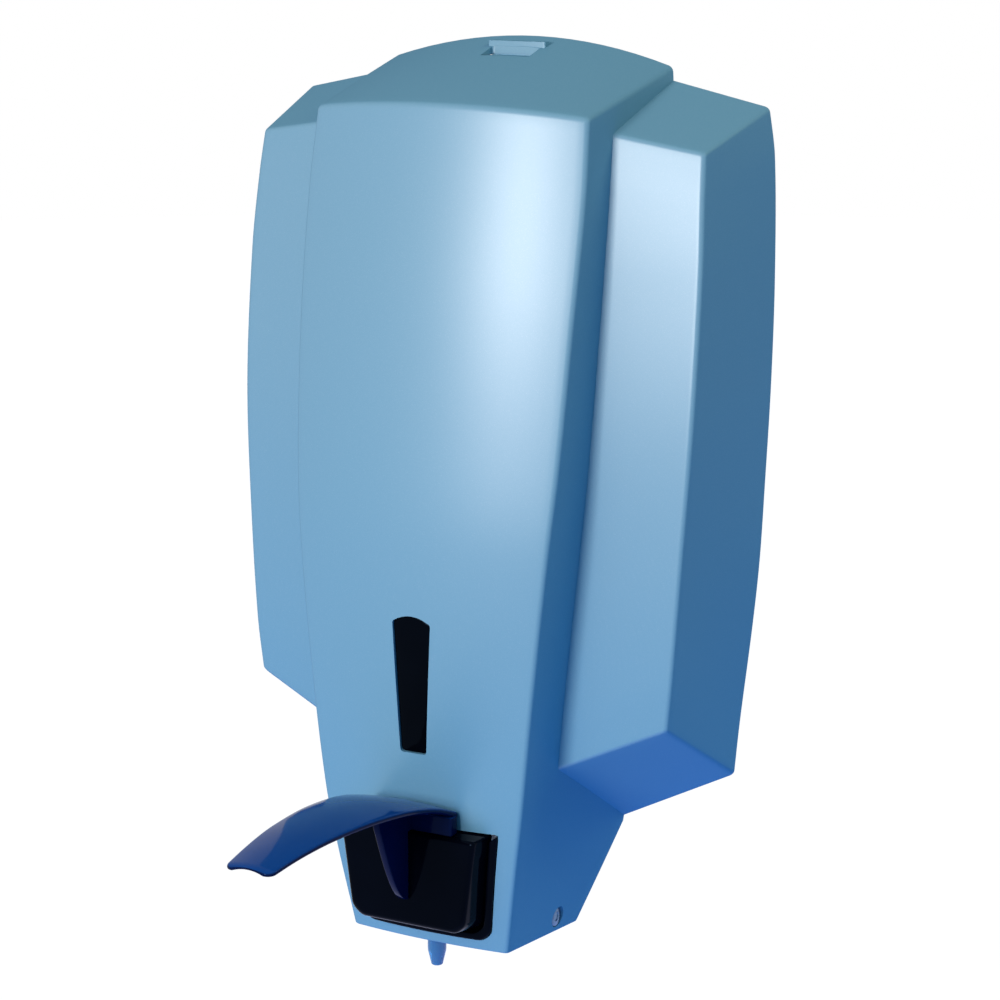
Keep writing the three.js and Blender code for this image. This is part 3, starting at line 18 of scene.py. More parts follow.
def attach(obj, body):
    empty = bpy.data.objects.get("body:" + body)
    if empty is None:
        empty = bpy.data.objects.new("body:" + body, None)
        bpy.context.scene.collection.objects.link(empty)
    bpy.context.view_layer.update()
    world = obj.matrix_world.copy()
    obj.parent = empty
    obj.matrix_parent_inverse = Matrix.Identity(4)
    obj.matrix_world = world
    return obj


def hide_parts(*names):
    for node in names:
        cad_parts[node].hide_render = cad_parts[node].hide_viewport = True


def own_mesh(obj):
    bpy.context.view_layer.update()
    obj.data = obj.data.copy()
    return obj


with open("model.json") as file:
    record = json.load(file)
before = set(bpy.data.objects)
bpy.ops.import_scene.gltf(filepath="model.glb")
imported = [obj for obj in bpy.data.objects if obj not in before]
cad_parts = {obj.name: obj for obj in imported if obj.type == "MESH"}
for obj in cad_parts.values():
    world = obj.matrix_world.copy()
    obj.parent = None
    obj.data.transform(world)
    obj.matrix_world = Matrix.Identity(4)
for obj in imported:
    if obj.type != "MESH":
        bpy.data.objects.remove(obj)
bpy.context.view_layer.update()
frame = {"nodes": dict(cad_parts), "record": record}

# %% [markdown]
# ## Drawing in millimetres
# The dispenser's drawing counts heights from the cover's lower front edge and depths out from
# the wall. Working in those numbers keeps every size readable. One function turns drawing
# points into metres, so no piece is ever moved or scaled after it is made.

# %% From the drawing to the scene
MM = 0.001
ORIGIN_HEIGHT = 150  # height of the scene's origin in the drawing
MERGE = 2e-6  # metres; points nearer than this are one point


def in_scene(points):
    """Drawing points in metres: ORIGIN_HEIGHT is taken off the heights, then all times 0.001."""
    return (np.asarray(points, float) - (0, 0, ORIGIN_HEIGHT)) * MM


def mix(first, second, share):
    """first + (second - first) * share, for numbers and for whole arrays."""
    return first + (second - first) * share


body_of = {}
for body_name, members in frame["record"]["behaviour"]["bodies"].items():
    body_of.update({member: body_name for member in members})
slot_of = {part["node"]: part["material_slot"] for part in frame["record"]["subparts"]}
print("bodies:", sorted(set(body_of.values())))

# %% [markdown]
# ## Surfaces as grids of numbers
# A smooth surface is a function of two parameters. Worked out on a whole grid at once it gives
# rows of points, and the faces between them follow a fixed pattern. Bmesh then joins the
# points that fall together at seams and poles and turns all faces outwards.

# %% The faces of a grid
SHARP = 32  # degrees; a crease that turns further stays sharp


def grid_faces(rows, columns):
    """Faces between the neighbours of a grid whose last column joins its first."""
    first = np.arange(rows - 1)[:, None] * columns
    column = np.arange(columns)
    a, b = first + column, first + (column + 1) % columns
    return np.stack([a, b, b + columns, a + columns], -1).reshape(-1, 4).tolist()


def shade(obj, sharp=SHARP):
    """Smooth shading, with creases kept where faces turn more than the sharp angle."""
    obj.data.shade_smooth()
    obj.data.set_sharp_from_angle(angle=math.radians(sharp))




# %% Closed mesh objects
def linked(name, mesh):
    """A new object with this mesh, put in the scene."""
    obj = bpy.data.objects.new(name, mesh)
    bpy.context.collection.objects.link(obj)
    return obj


def solid(name, points, faces):
    """A closed mesh object: doubles merged, faces turned outwards."""
    mesh = bpy.data.meshes.new(name)
    mesh.from_pydata(in_scene(points), [], faces)
    shape = bmesh.new()
    shape.from_mesh(mesh)
    bmesh.ops.remove_doubles(shape, verts=shape.verts, dist=MERGE)
    bmesh.ops.dissolve_degenerate(shape, edges=shape.edges, dist=MERGE)
    bmesh.ops.recalc_face_normals(shape, faces=shape.faces)
    shape.to_mesh(mesh)
    shape.free()
    obj = linked(name, mesh)
    shade(obj)
    return obj


def closed(name, rows, caps=True):
    """A closed mesh through rings of points: quads between rings, and a face over each end."""
    rows = np.asarray(rows, float)
    count, size = rows.shape[:2]
    faces = grid_faces(count, size)
    if caps:
        faces += [list(range(size))[::-1], list(range((count - 1) * size, count * size))]
    return solid(name, rows.reshape(-1, 3), faces)


# %% [markdown]
# ## Outlines, prisms and turned shapes
# Cut-outs and small parts start as flat outlines. A moulded part never has knife edges, so
# corners are eased by short curves before an outline is carried along an axis or turned.

# %% Flat outlines
AXES = {"x": (1, 2, 0), "y": (0, 2, 1), "z": (0, 1, 2)}
MOST_OF_SIDE = 0.48  # an eased corner takes less than half of each side


def placed(axis, flat, along):
    """Flat coordinates and a distance along an axis, put in their places in space."""
    flat, along = np.asarray(flat, float), np.asarray(along, float)
    out = np.empty(np.broadcast(flat[..., 0], along).shape + (3,))
    for place, value in zip(AXES[axis], (flat[..., 0], flat[..., 1], along)):
        out[..., place] = value
    return out


def rounded(outline, cut, steps=5, around=True):
    """Each corner P becomes the curve (1-t)^2 A + 2t(1-t) P + t^2 B, A and B `cut` away."""
    p = np.asarray(outline, float)
    before, after = np.roll(p, 1, 0), np.roll(p, -1, 0)
    if not around:
        before[0], after[-1] = p[0], p[-1]
    cut = np.broadcast_to(cut, len(p))[:, None]

    def toward(q):
        reach = np.maximum(np.linalg.norm(q - p, axis=1, keepdims=True), 1e-9)
        return mix(p, q, np.minimum(cut / reach, MOST_OF_SIDE))

    t = np.linspace(0, 1, steps + 1)[:, None, None]
    curve = (1 - t) ** 2 * toward(before) + 2 * t * (1 - t) * p + t**2 * toward(after)
    return curve.transpose(1, 0, 2).reshape(-1, p.shape[1])


def spread(outline, times, around=True):
    """Evenly spaced points on each side of an outline: P + (Q - P) k / times."""
    p = np.asarray(outline, float)
    t = np.arange(times)[:, None, None] / times
    dense = mix(p, np.roll(p, -1, 0), t).transpose(1, 0, 2).reshape(-1, p.shape[1])
    return dense if around else np.vstack([dense[: (len(p) - 1) * times], p[-1:]])


# %% Plain outlines
def rectangle(half, low, high):
    """Four corners, half the width to each side of the middle and from low to high."""
    return np.array([[-half, low], [half, low], [half, high], [-half, high]])


def mirrored(outline):
    """The right half of an outline, followed by the same points with x turned round."""
    right = np.asarray(outline, float)
    return np.vstack([right, right[::-1] * (-1, 1)])


def circle(centre, radius, steps=72):
    """Centre + radius (cos angle, sin angle)."""
    angle = np.arange(steps) * 2 * np.pi / steps
    return np.array(centre) + radius * np.stack([np.cos(angle), np.sin(angle)], -1)


# %% Prisms and turned shapes
def prism(name, axis, outline, low, high, ease=0.0):
    """An outline carried along an axis, its two ends drawn in along a quarter circle by ease."""
    flat = np.asarray(outline, float)
    ahead, behind = np.roll(flat, -1, 0), np.roll(flat, 1, 0)
    normal = (ahead - behind)[:, ::-1] * (1, -1)
    normal /= np.maximum(np.linalg.norm(normal, axis=1, keepdims=True), 1e-9)
    normal *= np.sign((flat[:, 0] * ahead[:, 1] - ahead[:, 0] * flat[:, 1]).sum())
    turn = np.linspace(0, np.pi / 2, 5 if ease else 1)
    back, drawn = ease * (1 - np.cos(turn)), ease * (1 - np.sin(turn)) * bool(ease)
    along = np.concatenate([low + back, (high - back)[::-1]])[:, None]
    drawn = np.concatenate([drawn, drawn[::-1]])[:, None, None]
    return closed(name, placed(axis, flat - normal * drawn, along))


def drum(name, axis, centre, radius, low, high, steps=72):
    """A round prism."""
    return prism(name, axis, circle(centre, radius, steps), low, high)


def turned(name, axis, centre, profile, steps=72):
    """A profile of (radius, distance along the axis), carried round that axis."""
    profile = np.asarray(profile, float)
    flat = np.array(centre) + profile[:, 0, None, None] * circle((0, 0), 1, steps)
    return closed(name, placed(axis, flat, profile[:, 1:2]), caps=False)


def twins(make, name, shape, near, far, ease=()):
    """The same shape along x on both sides of the middle, from near to far."""
    ends = [sorted((side * near, side * far)) for side in (-1, 1)]
    return [make(name, "x", *shape, *end, *ease) for end in ends]


# %% [markdown]
# ## Joining and carving
# Holes, slots and bosses are Boolean work. The modifiers are worked into the mesh at once and
# the tools are deleted, so each finished piece is one plain closed mesh.


# %% Booleans
def settle(obj):
    """Works the modifiers into the mesh."""
    graph = bpy.context.evaluated_depsgraph_get()
    done = bpy.data.meshes.new_from_object(obj.evaluated_get(graph))
    obj.modifiers.clear()
    obj.data = done
    return obj


def combine(target, tools, operation):
    """Applies each tool to the target and removes the tools."""
    for tool in tools:
        step = target.modifiers.new("combine", "BOOLEAN")
        step.operation, step.solver, step.object = operation, "MANIFOLD", tool
    settle(target)
    for tool in tools:
        bpy.data.objects.remove(tool)
    shade(target)
    return target


# %% Softened copies of plain solids
FLAT = 0.6  # degrees; triangles that turn less than this become one face
SOFT_SHARP, ROUND_SHARP = 40, 50  # degrees, on pieces with soft edges and on round ones


def merged_copy(node):
    """A CAD node's loose triangles, merged in a new object; flat areas become whole faces."""
    shape = bmesh.new()
    shape.from_mesh(frame["nodes"][node].data)
    bmesh.ops.remove_doubles(shape, verts=shape.verts, dist=MERGE)
    bmesh.ops.dissolve_limit(
        shape, angle_limit=math.radians(FLAT), verts=shape.verts, edges=shape.edges
    )
    mesh = bpy.data.meshes.new(node + "_look")
    shape.to_mesh(mesh)
    shape.free()
    return linked(node + "_look", mesh)


def softened(node, edge):
    """A merged copy of a node, its edges rounded by `edge` millimetres; 0 rounds nothing."""
    obj = merged_copy(node)
    if not edge:
        shade(obj, ROUND_SHARP)
        return obj
    shade(obj)
    bevel = obj.modifiers.new("soft_edges", "BEVEL")
    bevel.width, bevel.segments = edge * MM, 2
    bevel.limit_method, bevel.angle_limit = "ANGLE", math.radians(SHARP)
    settle(obj)
    shade(obj, SOFT_SHARP)
    weigh = obj.modifiers.new("flat_faces", "WEIGHTED_NORMAL")
    weigh.keep_sharp = True
    return settle(obj)


# %% [markdown]
# ## Materials written as sums
# A material is a small calculation. Wrapping a socket in a class with its own +, - and *
# lets that calculation be read as one line, and each operator adds its own Math node.


# %% Sockets that can be added and multiplied
class Wire:
    """A node's output; arithmetic on it adds Math nodes to the same tree."""

    def __init__(self, nodes, socket):
        self.nodes, self.socket = nodes, socket

    def math(self, operation, *others):
        return self.nodes.node("ShaderNodeMath", {"operation": operation}, dict(enumerate(others)))

    def __add__(self, other):
        return self.math("ADD", self, other)

    __radd__ = __add__

    def __mul__(self, other):
        return self.math("MULTIPLY", self, other)

    __rmul__ = __mul__

    def __sub__(self, other):
        return self.math("SUBTRACT", self, other)

    def __rsub__(self, other):
        return self.math("SUBTRACT", other, self)

    def between(self, low, high):
        """0 below low, 1 above high, and smooth on the way."""
        return self.nodes.node(
            "ShaderNodeMapRange", {"interpolation_type": "SMOOTHSTEP"}, {0: self, 1: low, 2: high}
        )


class Nodes:
    """A node tree; a wire is linked to a socket, and a plain value goes straight onto it."""

    def __init__(self, tree):
        self.tree = tree

    def feed(self, socket, value):
        if isinstance(value, Wire):
            self.tree.links.new(value.socket, socket)
        else:
            socket.default_value = value

    def node(self, kind, settings=None, inputs=None, output=0):
        """Any node, from its type, its settings and its inputs; gives one of its outputs."""
        made = self.tree.nodes.new(kind)
        for key, value in (settings or {}).items():
            setattr(made, key, value)
        for key, value in (inputs or {}).items():
            self.feed(made.inputs[key], value)
        return Wire(self, made.outputs[output])


# %% A material with its own helpers
class Paint(Nodes):
    """A material with a Principled shader."""

    def __init__(self, name, **values):
        self.material = bpy.data.materials.new(name)
        self.material.use_nodes = True
        super().__init__(self.material.node_tree)
        self.shader = self.tree.nodes["Principled BSDF"]
        self.set(**values)

    def set(self, **values):
        """Feeds the shader's sockets, named in small letters with underscores."""
        sockets = {socket.name.lower().replace(" ", "_"): socket for socket in self.shader.inputs}
        for key, value in values.items():
            self.feed(sockets[key], value)

    def own(self, output="Object"):
        """A place on the piece, or the direction of its face, in the piece's own frame."""
        return self.node("ShaderNodeTexCoord", output=output)

    def noise(self, scale, detail=2.0, stretch=(1, 1, 1), distortion=0.0):
        """Noise over the piece; stretch lengthens its grains along an axis."""
        values = {"Vector": self.own(), "Scale": tuple(scale / s for s in stretch)}
        place = self.node("ShaderNodeMapping", {"vector_type": "POINT"}, values)
        values = {"Vector": place, "Scale": 1.0, "Detail": detail, "Distortion": distortion}
        return self.node("ShaderNodeTexNoise", {}, values)

    def height(self):
        """The height over the scene's origin, in metres."""
        return self.node("ShaderNodeSeparateXYZ", {}, {0: self.own()}, output="Z")

    def facing(self, direction):
        """How far the face looks in a direction: the dot product of its normal with it."""
        settings = {"operation": "DOT_PRODUCT"}
        values = {0: self.own("Normal"), 1: direction}
        return self.node("ShaderNodeVectorMath", settings, values, output="Value")

    def blend(self, factor, first, second):
        """A colour between two colours, by a Mix node."""
        settings = {"data_type": "RGBA", "clamp_factor": True}
        return self.node("ShaderNodeMix", settings, {0: factor, 6: first, 7: second}, output=2)

    def bump(self, height, strength, distance):
        values = {"Strength": strength, "Distance": distance, "Height": height}
        self.set(normal=self.node("ShaderNodeBump", {}, values))


def colour(red, green, blue):
    """A colour as seen on a screen, 0 to 255, in the linear values that the shader takes."""
    share = np.array([red, green, blue]) / 255
    linear = np.where(share <= 0.04045, share / 12.92, ((share + 0.055) / 1.055) ** 2.4)
    return (*linear.tolist(), 1.0)



# %% [markdown]
# ## Satin metallic paint
# The cover is moulded plastic with a satin paint full of fine flakes. It has no mirror image in
# it, only broad soft lights, so it gets little metal, a middling roughness and a soft lacquer.
# Paint is sprayed from the front, so the lacquer is thick where a face looks forward and thin
# on the sides. A high index at a low weight keeps dark sides dark at grazing angles. The flakes
# are noise a fifth of a millimetre wide in the colour, the roughness and a very low bump, and
# a slower noise keeps large faces from looking even. Lower down the colour turns darker and
# bluer, a painted shade.

# %% Satin paint
# The low colour is a painted shade: lower parts are painted darker and bluer.
SATIN_HIGH = colour(122, 168, 191)
SATIN_SHADED_LOW = colour(105, 166, 200)
SATIN_FLAKE = colour(214, 234, 244)
PAINTED_SHADE_HEIGHTS = (-0.17, 0.2)  # metres; heights between which the paint changes


def satin_paint(name):
    """Base by height, with a painted shade that turns it darker and bluer lower down, and flakes;
    roughness 0.38 + flakes + cloud; lacquer and metal by how far a face looks forward."""
    paint = Paint(name, specular_ior_level=0.0, coat_ior=2.4, coat_roughness=0.37)
    spray = paint.facing((0, -1, 0)).between(0.35, 0.95)
    flakes = paint.noise(5200, detail=1.0)
    cloud = paint.noise(9, detail=3.0)
    # painted shade: the colour turns darker and bluer lower down
    painted_shade = (paint.height() + 0.03 * cloud).between(*PAINTED_SHADE_HEIGHTS)
    base = paint.blend(painted_shade, SATIN_SHADED_LOW, SATIN_HIGH)
    glint = flakes.between(0.56, 0.78) * 0.22
    paint.set(
        base_color=paint.blend(glint, base, SATIN_FLAKE),
        roughness=0.38 + 0.08 * flakes + 0.04 * cloud,
        coat_weight=0.03 + 0.3 * spray,
        metallic=0.02 + 0.03 * spray,
    )
    peel = paint.noise(420, detail=2.0)
    paint.bump(peel + 0.4 * flakes, 0.12, 0.0001)
    return paint.material


finishes = {"satin_silver": satin_paint("satin_silver")}
print("paint:", list(finishes))

# %% [markdown]
# ## Gloss plastics
# The lever, the pad and its rim are polished moulded plastic, nearly black with blue in it. A
# gloss surface shows its small faults in the reflections. Fine handling marks vary the
# roughness, and a slow bump a few hundredths of a millimetre high bends the reflections. The
# lever's upper faces are painted a clearer blue, a painted reflection of the blue around it.

# %% Glossy dark plastics
GLOSS_TINT = (0.35, 0.6, 1.0, 1.0)
# The last colour is a painted reflection: faces that look up get a clearer blue.
GLOSS = {  # two near colours, roughness, strength of the gloss, and a colour for upper sides
    "dark_gloss": (colour(2, 3, 8), colour(5, 8, 20), 0.08, 0.035, None),
    "dark_blue_gloss": (colour(6, 18, 56), colour(9, 25, 70), 0.07, 0.06, colour(16, 68, 138)),
    "smoked_lens": (colour(2, 3, 6), colour(5, 8, 16), 0.05, 0.035, None),
}


def gloss_plastic(name, deep, bright, rough, gloss, top):
    """Between two near colours by cloud, or the top colour, a painted reflection, where a face
    looks up; roughness rough + smudges + scratches; slow sink marks."""
    paint = Paint(name, specular_ior_level=gloss, specular_tint=GLOSS_TINT)
    cloud = paint.noise(38, detail=3.0)
    smudge = paint.noise(120, detail=5.0, stretch=(1, 2.5, 1), distortion=0.6).between(0.5, 0.8)
    scratches = paint.noise(2600, detail=1.0, stretch=(1, 14, 1)).between(0.62, 0.8)
    base = paint.blend(cloud, deep, bright)
    if top:
        # painted reflection: faces that look up take the clearer blue top colour
        base = paint.blend(paint.facing((0, 0, 1)).between(0.3, 0.95), base, top)
    paint.set(base_color=base, roughness=rough + 0.07 * smudge + 0.05 * scratches)
    paint.bump(paint.noise(55, detail=1.0) + 0.03 * scratches, 0.1, 0.0006)
    return paint.material


finishes.update({name: gloss_plastic(name, *values) for name, values in GLOSS.items()})
print("gloss plastics:", list(GLOSS))

# %% [markdown]
# ## Plain moulded plastics, metal and rubber
# Inside parts are moulded with a fine spark-eroded grain, which is dense low bump. The tank is
# milky and lets light in, the spout is clear blue, screws and pins are zinc with a fine turned
# grain, and the seals are matt rubber with a faint dust.


# %% Grained, milky and clear plastics and rubber
def grained_plastic(name, base, grain=0.25, rough=0.46, **values):
    """Base colour with a slow cloud down to 82% of it; a fine grain in bump and roughness."""
    paint = Paint(name, **values)
    grain_noise = paint.noise(2400, detail=2.0)
    cloud = paint.noise(14, detail=4.0)
    darker = tuple(0.82 * value for value in base[:3]) + (1.0,)
    paint.set(
        base_color=paint.blend(cloud, darker, base),
        roughness=rough + 0.12 * grain_noise - 0.04 * cloud,
    )
    paint.bump(grain_noise, grain, 0.0001)
    return paint.material


finishes["grey_plastic"] = grained_plastic("grey_plastic", colour(186, 193, 198))
finishes["white_plastic"] = grained_plastic("white_plastic", colour(232, 235, 235), 0.08, 0.34)
finishes["milky_plastic"] = grained_plastic(
    "milky_plastic", colour(228, 233, 229), 0.1, 0.38, subsurface_weight=0.35, subsurface_scale=0.01
)
finishes["blue_clear"] = grained_plastic(
    "blue_clear", colour(62, 146, 212), 0.04, 0.12, transmission_weight=0.3, ior=1.46
)
finishes["black_rubber"] = grained_plastic("black_rubber", colour(40, 41, 43), 0.3, 0.68)
print("finishes:", len(finishes))


# %% Zinc
def plated_steel(name, bright, dim):
    """Metal with fine streaks across X and a few duller clouds."""
    paint = Paint(name, metallic=1.0)
    streak = paint.noise(3000, detail=2.0, stretch=(6, 1, 1))
    dull = paint.noise(260, detail=4.0).between(0.45, 0.75)
    paint.set(
        base_color=paint.blend(dull, bright, dim),
        roughness=0.22 + 0.1 * streak + 0.14 * dull,
    )
    paint.bump(streak, 0.12, 0.00005)
    return paint.material


finishes["steel"] = plated_steel("zinc_steel", colour(208, 211, 214), colour(168, 174, 180))
pin_steel = plated_steel("blued_steel", colour(70, 104, 142), colour(38, 62, 96))
print("metals:", finishes["steel"].name, pin_steel.name)

# %% [markdown]
# ## Dressing a node
# A finished piece stands for one plain solid, and moves with the same body. One function gives
# it the finish of that solid's slot, hangs it on that body and hides the plain solid.


# %% Dressing a node
def dress(obj, node, finish=None):
    """The piece takes the node's finish, rides its body and stands for it."""
    obj.name = node + "_look"
    obj.data.name = obj.name
    obj.data.materials.clear()
    obj.data.materials.append(finish or finishes[slot_of[node]])
    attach(obj, body_of[node])
    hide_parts(node)
    print(obj.name, "faces:", len(obj.data.polygons))
    return obj


# %% [markdown]
# ## The cover's form
# The middle of the cover bulges: its edges run along long slow curves, its front is crowned
# and its top falls towards the front. These are read from short tables of shares by a smooth
# curve, as a pattern maker reads templates.

# %% Sizes of the cover
WALL = 3
PANEL_HEIGHT, PANEL_HALF_WIDTH, PANEL_DEPTH = 362.7, 66.5, 103.3
PANEL_CROWN_RADIUS, PANEL_FLARE = 240, 4
TOP_RISE, TOP_CROWN_FRONT, TOP_CROWN_REAR = 17.3, 6.5, 10
FOOT_DROP, HEEL_FORWARD, HEEL_HEIGHT = 6, 33, 33.6
WING_HALF_WIDTH, WING_DEPTH, WING_TILT, WING_EMBED = 118.4, 70, 4, 6
WING_LOW = {"inner_front": 76.7, "outer_front": 104, "inner_rear": 33.6, "outer_rear": 64.7}
WING_HIGH = {"inner_front": 356, "outer_front": 348.3, "inner_rear": 375.1, "outer_rear": 363.3}
CORNER_RADIUS = 1.8
HOLLOW_BEHIND, HOLLOW_BELOW = 2, 8
print("cover's width and height:", 2 * WING_HALF_WIDTH, PANEL_HEIGHT + TOP_RISE + TOP_CROWN_REAR)

# %% Tables of the cover's edges
# Share of the height, share of the half width, share of the depth
PANEL_EDGE_SHARES = np.array(
    [
        [0, 0.582, 0.92], [0.102, 0.672, 0.967], [0.185, 0.739, 0.99],
        [0.339, 0.826, 1], [0.502, 0.91, 0.985], [0.612, 0.957, 0.945],
        [0.775, 0.99, 0.865], [0.913, 1, 0.775], [1, 0.979, 0.716],
    ]
)
WING_FRONT_SHARES = np.array(
    [
        [0, 0.86, 0.99], [0.1, 0.88, 1], [0.3, 0.905, 0.985], [0.54, 0.929, 0.94],
        [0.79, 0.929, 0.847], [0.925, 0.915, 0.78], [1, 0.905, 0.729],
    ]
)
WING_REAR_SHARES = np.array(
    [
        [0, 0.878], [0.085, 0.898], [0.232, 0.94], [0.336, 0.964], [0.457, 0.979],
        [0.6, 0.994], [0.755, 1], [0.93, 0.99], [1, 0.965],
    ]
)


def reading(table, share, column):
    """Between two rows y goes as p + (q-p) u^2 (3-2u), bent by u(1-u) to the slopes there."""
    x, y = table[:, 0], table[:, column]
    rows = np.arange(len(x))
    low, high = np.maximum(rows - 1, 0), np.minimum(rows + 1, len(x) - 1)
    slope = (y[high] - y[low]) / (x[high] - x[low])
    t = np.clip(share, 0, 1)
    k = np.clip(np.searchsorted(x, t) - 1, 0, len(x) - 2)
    width = x[k + 1] - x[k]
    u = (t - x[k]) / width
    bend = u * (1 - u) * width * ((1 - u) * slope[k] - u * slope[k + 1])
    return y[k] + u * u * (3 - 2 * u) * (y[k + 1] - y[k]) + bend




# %% The middle part's width, depth and top
def panel_half(z):
    """Half the width of the middle part at a height."""
    return PANEL_HALF_WIDTH * reading(PANEL_EDGE_SHARES, z / PANEL_HEIGHT, 1)


def corner_depth(z):
    """Depth of the middle part's vertical front edges."""
    return PANEL_DEPTH * reading(PANEL_EDGE_SHARES, z / PANEL_HEIGHT, 2)


def panel_depth(x, z):
    """Depth of the crowned front: edge depth + (half^2 - x^2) / (2 crown radius)."""
    return corner_depth(z) + (panel_half(z) ** 2 - x**2) / (2 * PANEL_CROWN_RADIUS)


def top_height(x, depth):
    """Height of the top: front edge + rise towards the wall + crown (1 - (x/half)^2)."""
    back = 1 - depth / corner_depth(PANEL_HEIGHT)
    crown = mix(TOP_CROWN_FRONT, TOP_CROWN_REAR, back)
    return PANEL_HEIGHT + TOP_RISE * back + crown * (1 - (x / panel_half(PANEL_HEIGHT)) ** 2)



# %% [markdown]
# ## Blocks with eased edges
# The middle part and each wing are a block in three parameters: u across, w from front to
# wall and v upwards. A ring of (u, w) is carried up in v. At the top and the foot it turns
# in along a short curve and closes over the block, which gives the soft edges of a moulding
# without any bevel that a Boolean could break.

# %% The plan ring
RING_FRONT, RING_SIDE, RING_REAR, RING_CORNER = 44, 22, 18, 6


def plan_ring(low_u):
    """Columns (u, share of radius off u, w, share of radius onto w) round the block's plan."""
    turn = np.linspace(0, np.pi / 2, RING_CORNER + 1)
    out, back, none = 1 - np.sin(turn), 1 - np.cos(turn), np.zeros(RING_CORNER + 1)
    t, zero = np.linspace(0, 1, RING_SIDE), np.zeros(RING_SIDE)
    across = np.linspace(low_u, 1, RING_FRONT)
    home = np.linspace(1, low_u, RING_REAR)
    right_corner = np.stack([none + 1, out, none, back], -1)
    right_side = np.stack([zero + 1, zero, t, 1 - t], -1)
    front = np.stack([across, across, across * 0, across * 0], -1)
    rear = np.stack([home, home * 0, home * 0 + 1, home * 0], -1)
    inner = np.stack([zero, zero, t[::-1], zero], -1)
    left = (-1, -1, 1, 1)
    first = [(right_side * left)[::-1], (right_corner * left)[::-1]] if low_u < 0 else [inner]
    return np.vstack([*first, front, right_corner, right_side, rear])



# %% The block
TURN_STEPS, FOOT_RINGS, TOP_RINGS = 7, 8, 16


def block(name, ring, place, corner, rows, eases, heart):
    """Rings of a block: `corner(v)` gives the radius as shares of u and w, `eases` are those of
    the top and foot as shares of v, u and w, and `heart` is where both ends close over."""
    top, foot = eases or ((0, 0, 0), (0, 0, 0))

    def at(v):
        v = np.asarray(v, float).reshape(-1, 1)
        share_u, share_w = corner(v)
        u, w = ring[:, 0] - ring[:, 1] * share_u, ring[:, 2] + ring[:, 3] * share_w
        return u, w, v + ring[:, 0] * 0

    def closing(end, ease, inward):
        ease_v, ease_u, ease_w = ease
        u, w, v = at(end)
        start_u, start_w, start_v = at(abs(end - ease_v))
        t = np.linspace(0, 1, TURN_STEPS)[:, None]
        a, e, b = (1 - t) ** 2, 2 * t * (1 - t), t**2
        near_u, near_w = u * (1 - ease_u), 1 + (w - 1) * (1 - ease_w)
        turn = [a * start_u + e * u + b * near_u, a * start_w + e * w + b * near_w]
        turn.append(a * start_v + (e + b) * v)
        s = np.linspace(1, 0, inward)[1:, None]
        cap = [mix(heart[0], near_u, s), mix(heart[1], near_w, s), v + s * 0]
        return [np.vstack(pair) for pair in zip(turn, cap)]

    wall = at(np.linspace(foot[0], 1 - top[0], rows))
    under = [part[::-1] for part in closing(0, foot, FOOT_RINGS)]
    over = closing(1, top, TOP_RINGS)
    u, w, v = (np.vstack(parts) for parts in zip(under, wall, over))
    return closed(name, place(u, w, v), caps=False)


# %% The middle part
CENTRE_HEART, WING_HEART = (0, 0.75), (0.4, 0.6)


def corner_radius(inset):
    """Radius of the upright edges, smaller on the hollow inside."""
    return max(CORNER_RADIUS - inset, CORNER_RADIUS / 3)


def centre_block(name, inset, rows, eases):
    """x = u (half + flare w), depth = front (1-w) + rear w, z from foot to top by v."""
    behind, below = (HOLLOW_BEHIND, HOLLOW_BELOW) if inset else (0, 0)
    radius = corner_radius(inset)

    def place(u, w, v):
        level = v * PANEL_HEIGHT
        half = panel_half(level) - inset
        depth = (panel_depth(u * half, level) - inset) * (1 - w) - behind * w
        x = u * (half + PANEL_FLARE * w)
        back = (corner_depth(0) - depth) / (corner_depth(0) - HEEL_FORWARD)
        low = -FOOT_DROP * back - below
        high = top_height(x, np.maximum(depth, 0)) - inset
        return np.stack([x, -depth, mix(low, high, v)], -1)

    def corner(v):
        level = v * PANEL_HEIGHT
        return radius / (panel_half(level) - inset), radius / corner_depth(level)

    return block(name, plan_ring(-1), place, corner, rows, eases, CENTRE_HEART)


# %% The wings
def wing_block(name, side, inset, rows, eases):
    """A wing: x and z run between its four edges, and its inner edge stands WING_TILT out."""
    behind = HOLLOW_BEHIND if inset else 0
    radius = corner_radius(inset)

    def edges(v):
        low = {key: value + inset for key, value in WING_LOW.items()}
        z = {key: mix(low[key], WING_HIGH[key] - inset, v) for key in low}
        outer = WING_HALF_WIDTH * reading(WING_FRONT_SHARES, v, 1) - inset
        rear = WING_HALF_WIDTH * reading(WING_REAR_SHARES, v, 1) - inset
        depth = WING_DEPTH * reading(WING_FRONT_SHARES, v, 2) - inset
        inner = panel_half(z["inner_front"]) - WING_EMBED - inset
        return z, inner, outer, rear, depth

    def place(u, w, v):
        z, inner, outer, rear, depth = edges(v)
        x = inner + u * (mix(outer, rear, w) - inner)
        deep = (depth + WING_TILT * (1 - u)) * (1 - w) - behind * w
        front_z = mix(z["inner_front"], z["outer_front"], u)
        rear_z = mix(z["inner_rear"], z["outer_rear"], u)
        return np.stack([side * x, -deep, mix(front_z, rear_z, w)], -1)

    def corner(v):
        _, inner, outer, _, depth = edges(v)
        return radius / (outer - inner), radius / depth

    return block(name, plan_ring(0), place, corner, rows, eases, WING_HEART)


# %% The outer form less the hollow
COVER_ROWS, HOLLOW_ROWS = 90, 48
# Eases at the top and at the foot, as shares of the height, the half width and the depth
CENTRE_EASES = ((0.006, 0.035, 0.03), (0.003, 0.015, 0.012))
WING_EASES = ((0.007, 0.045, 0.03), (0.006, 0.04, 0.028))


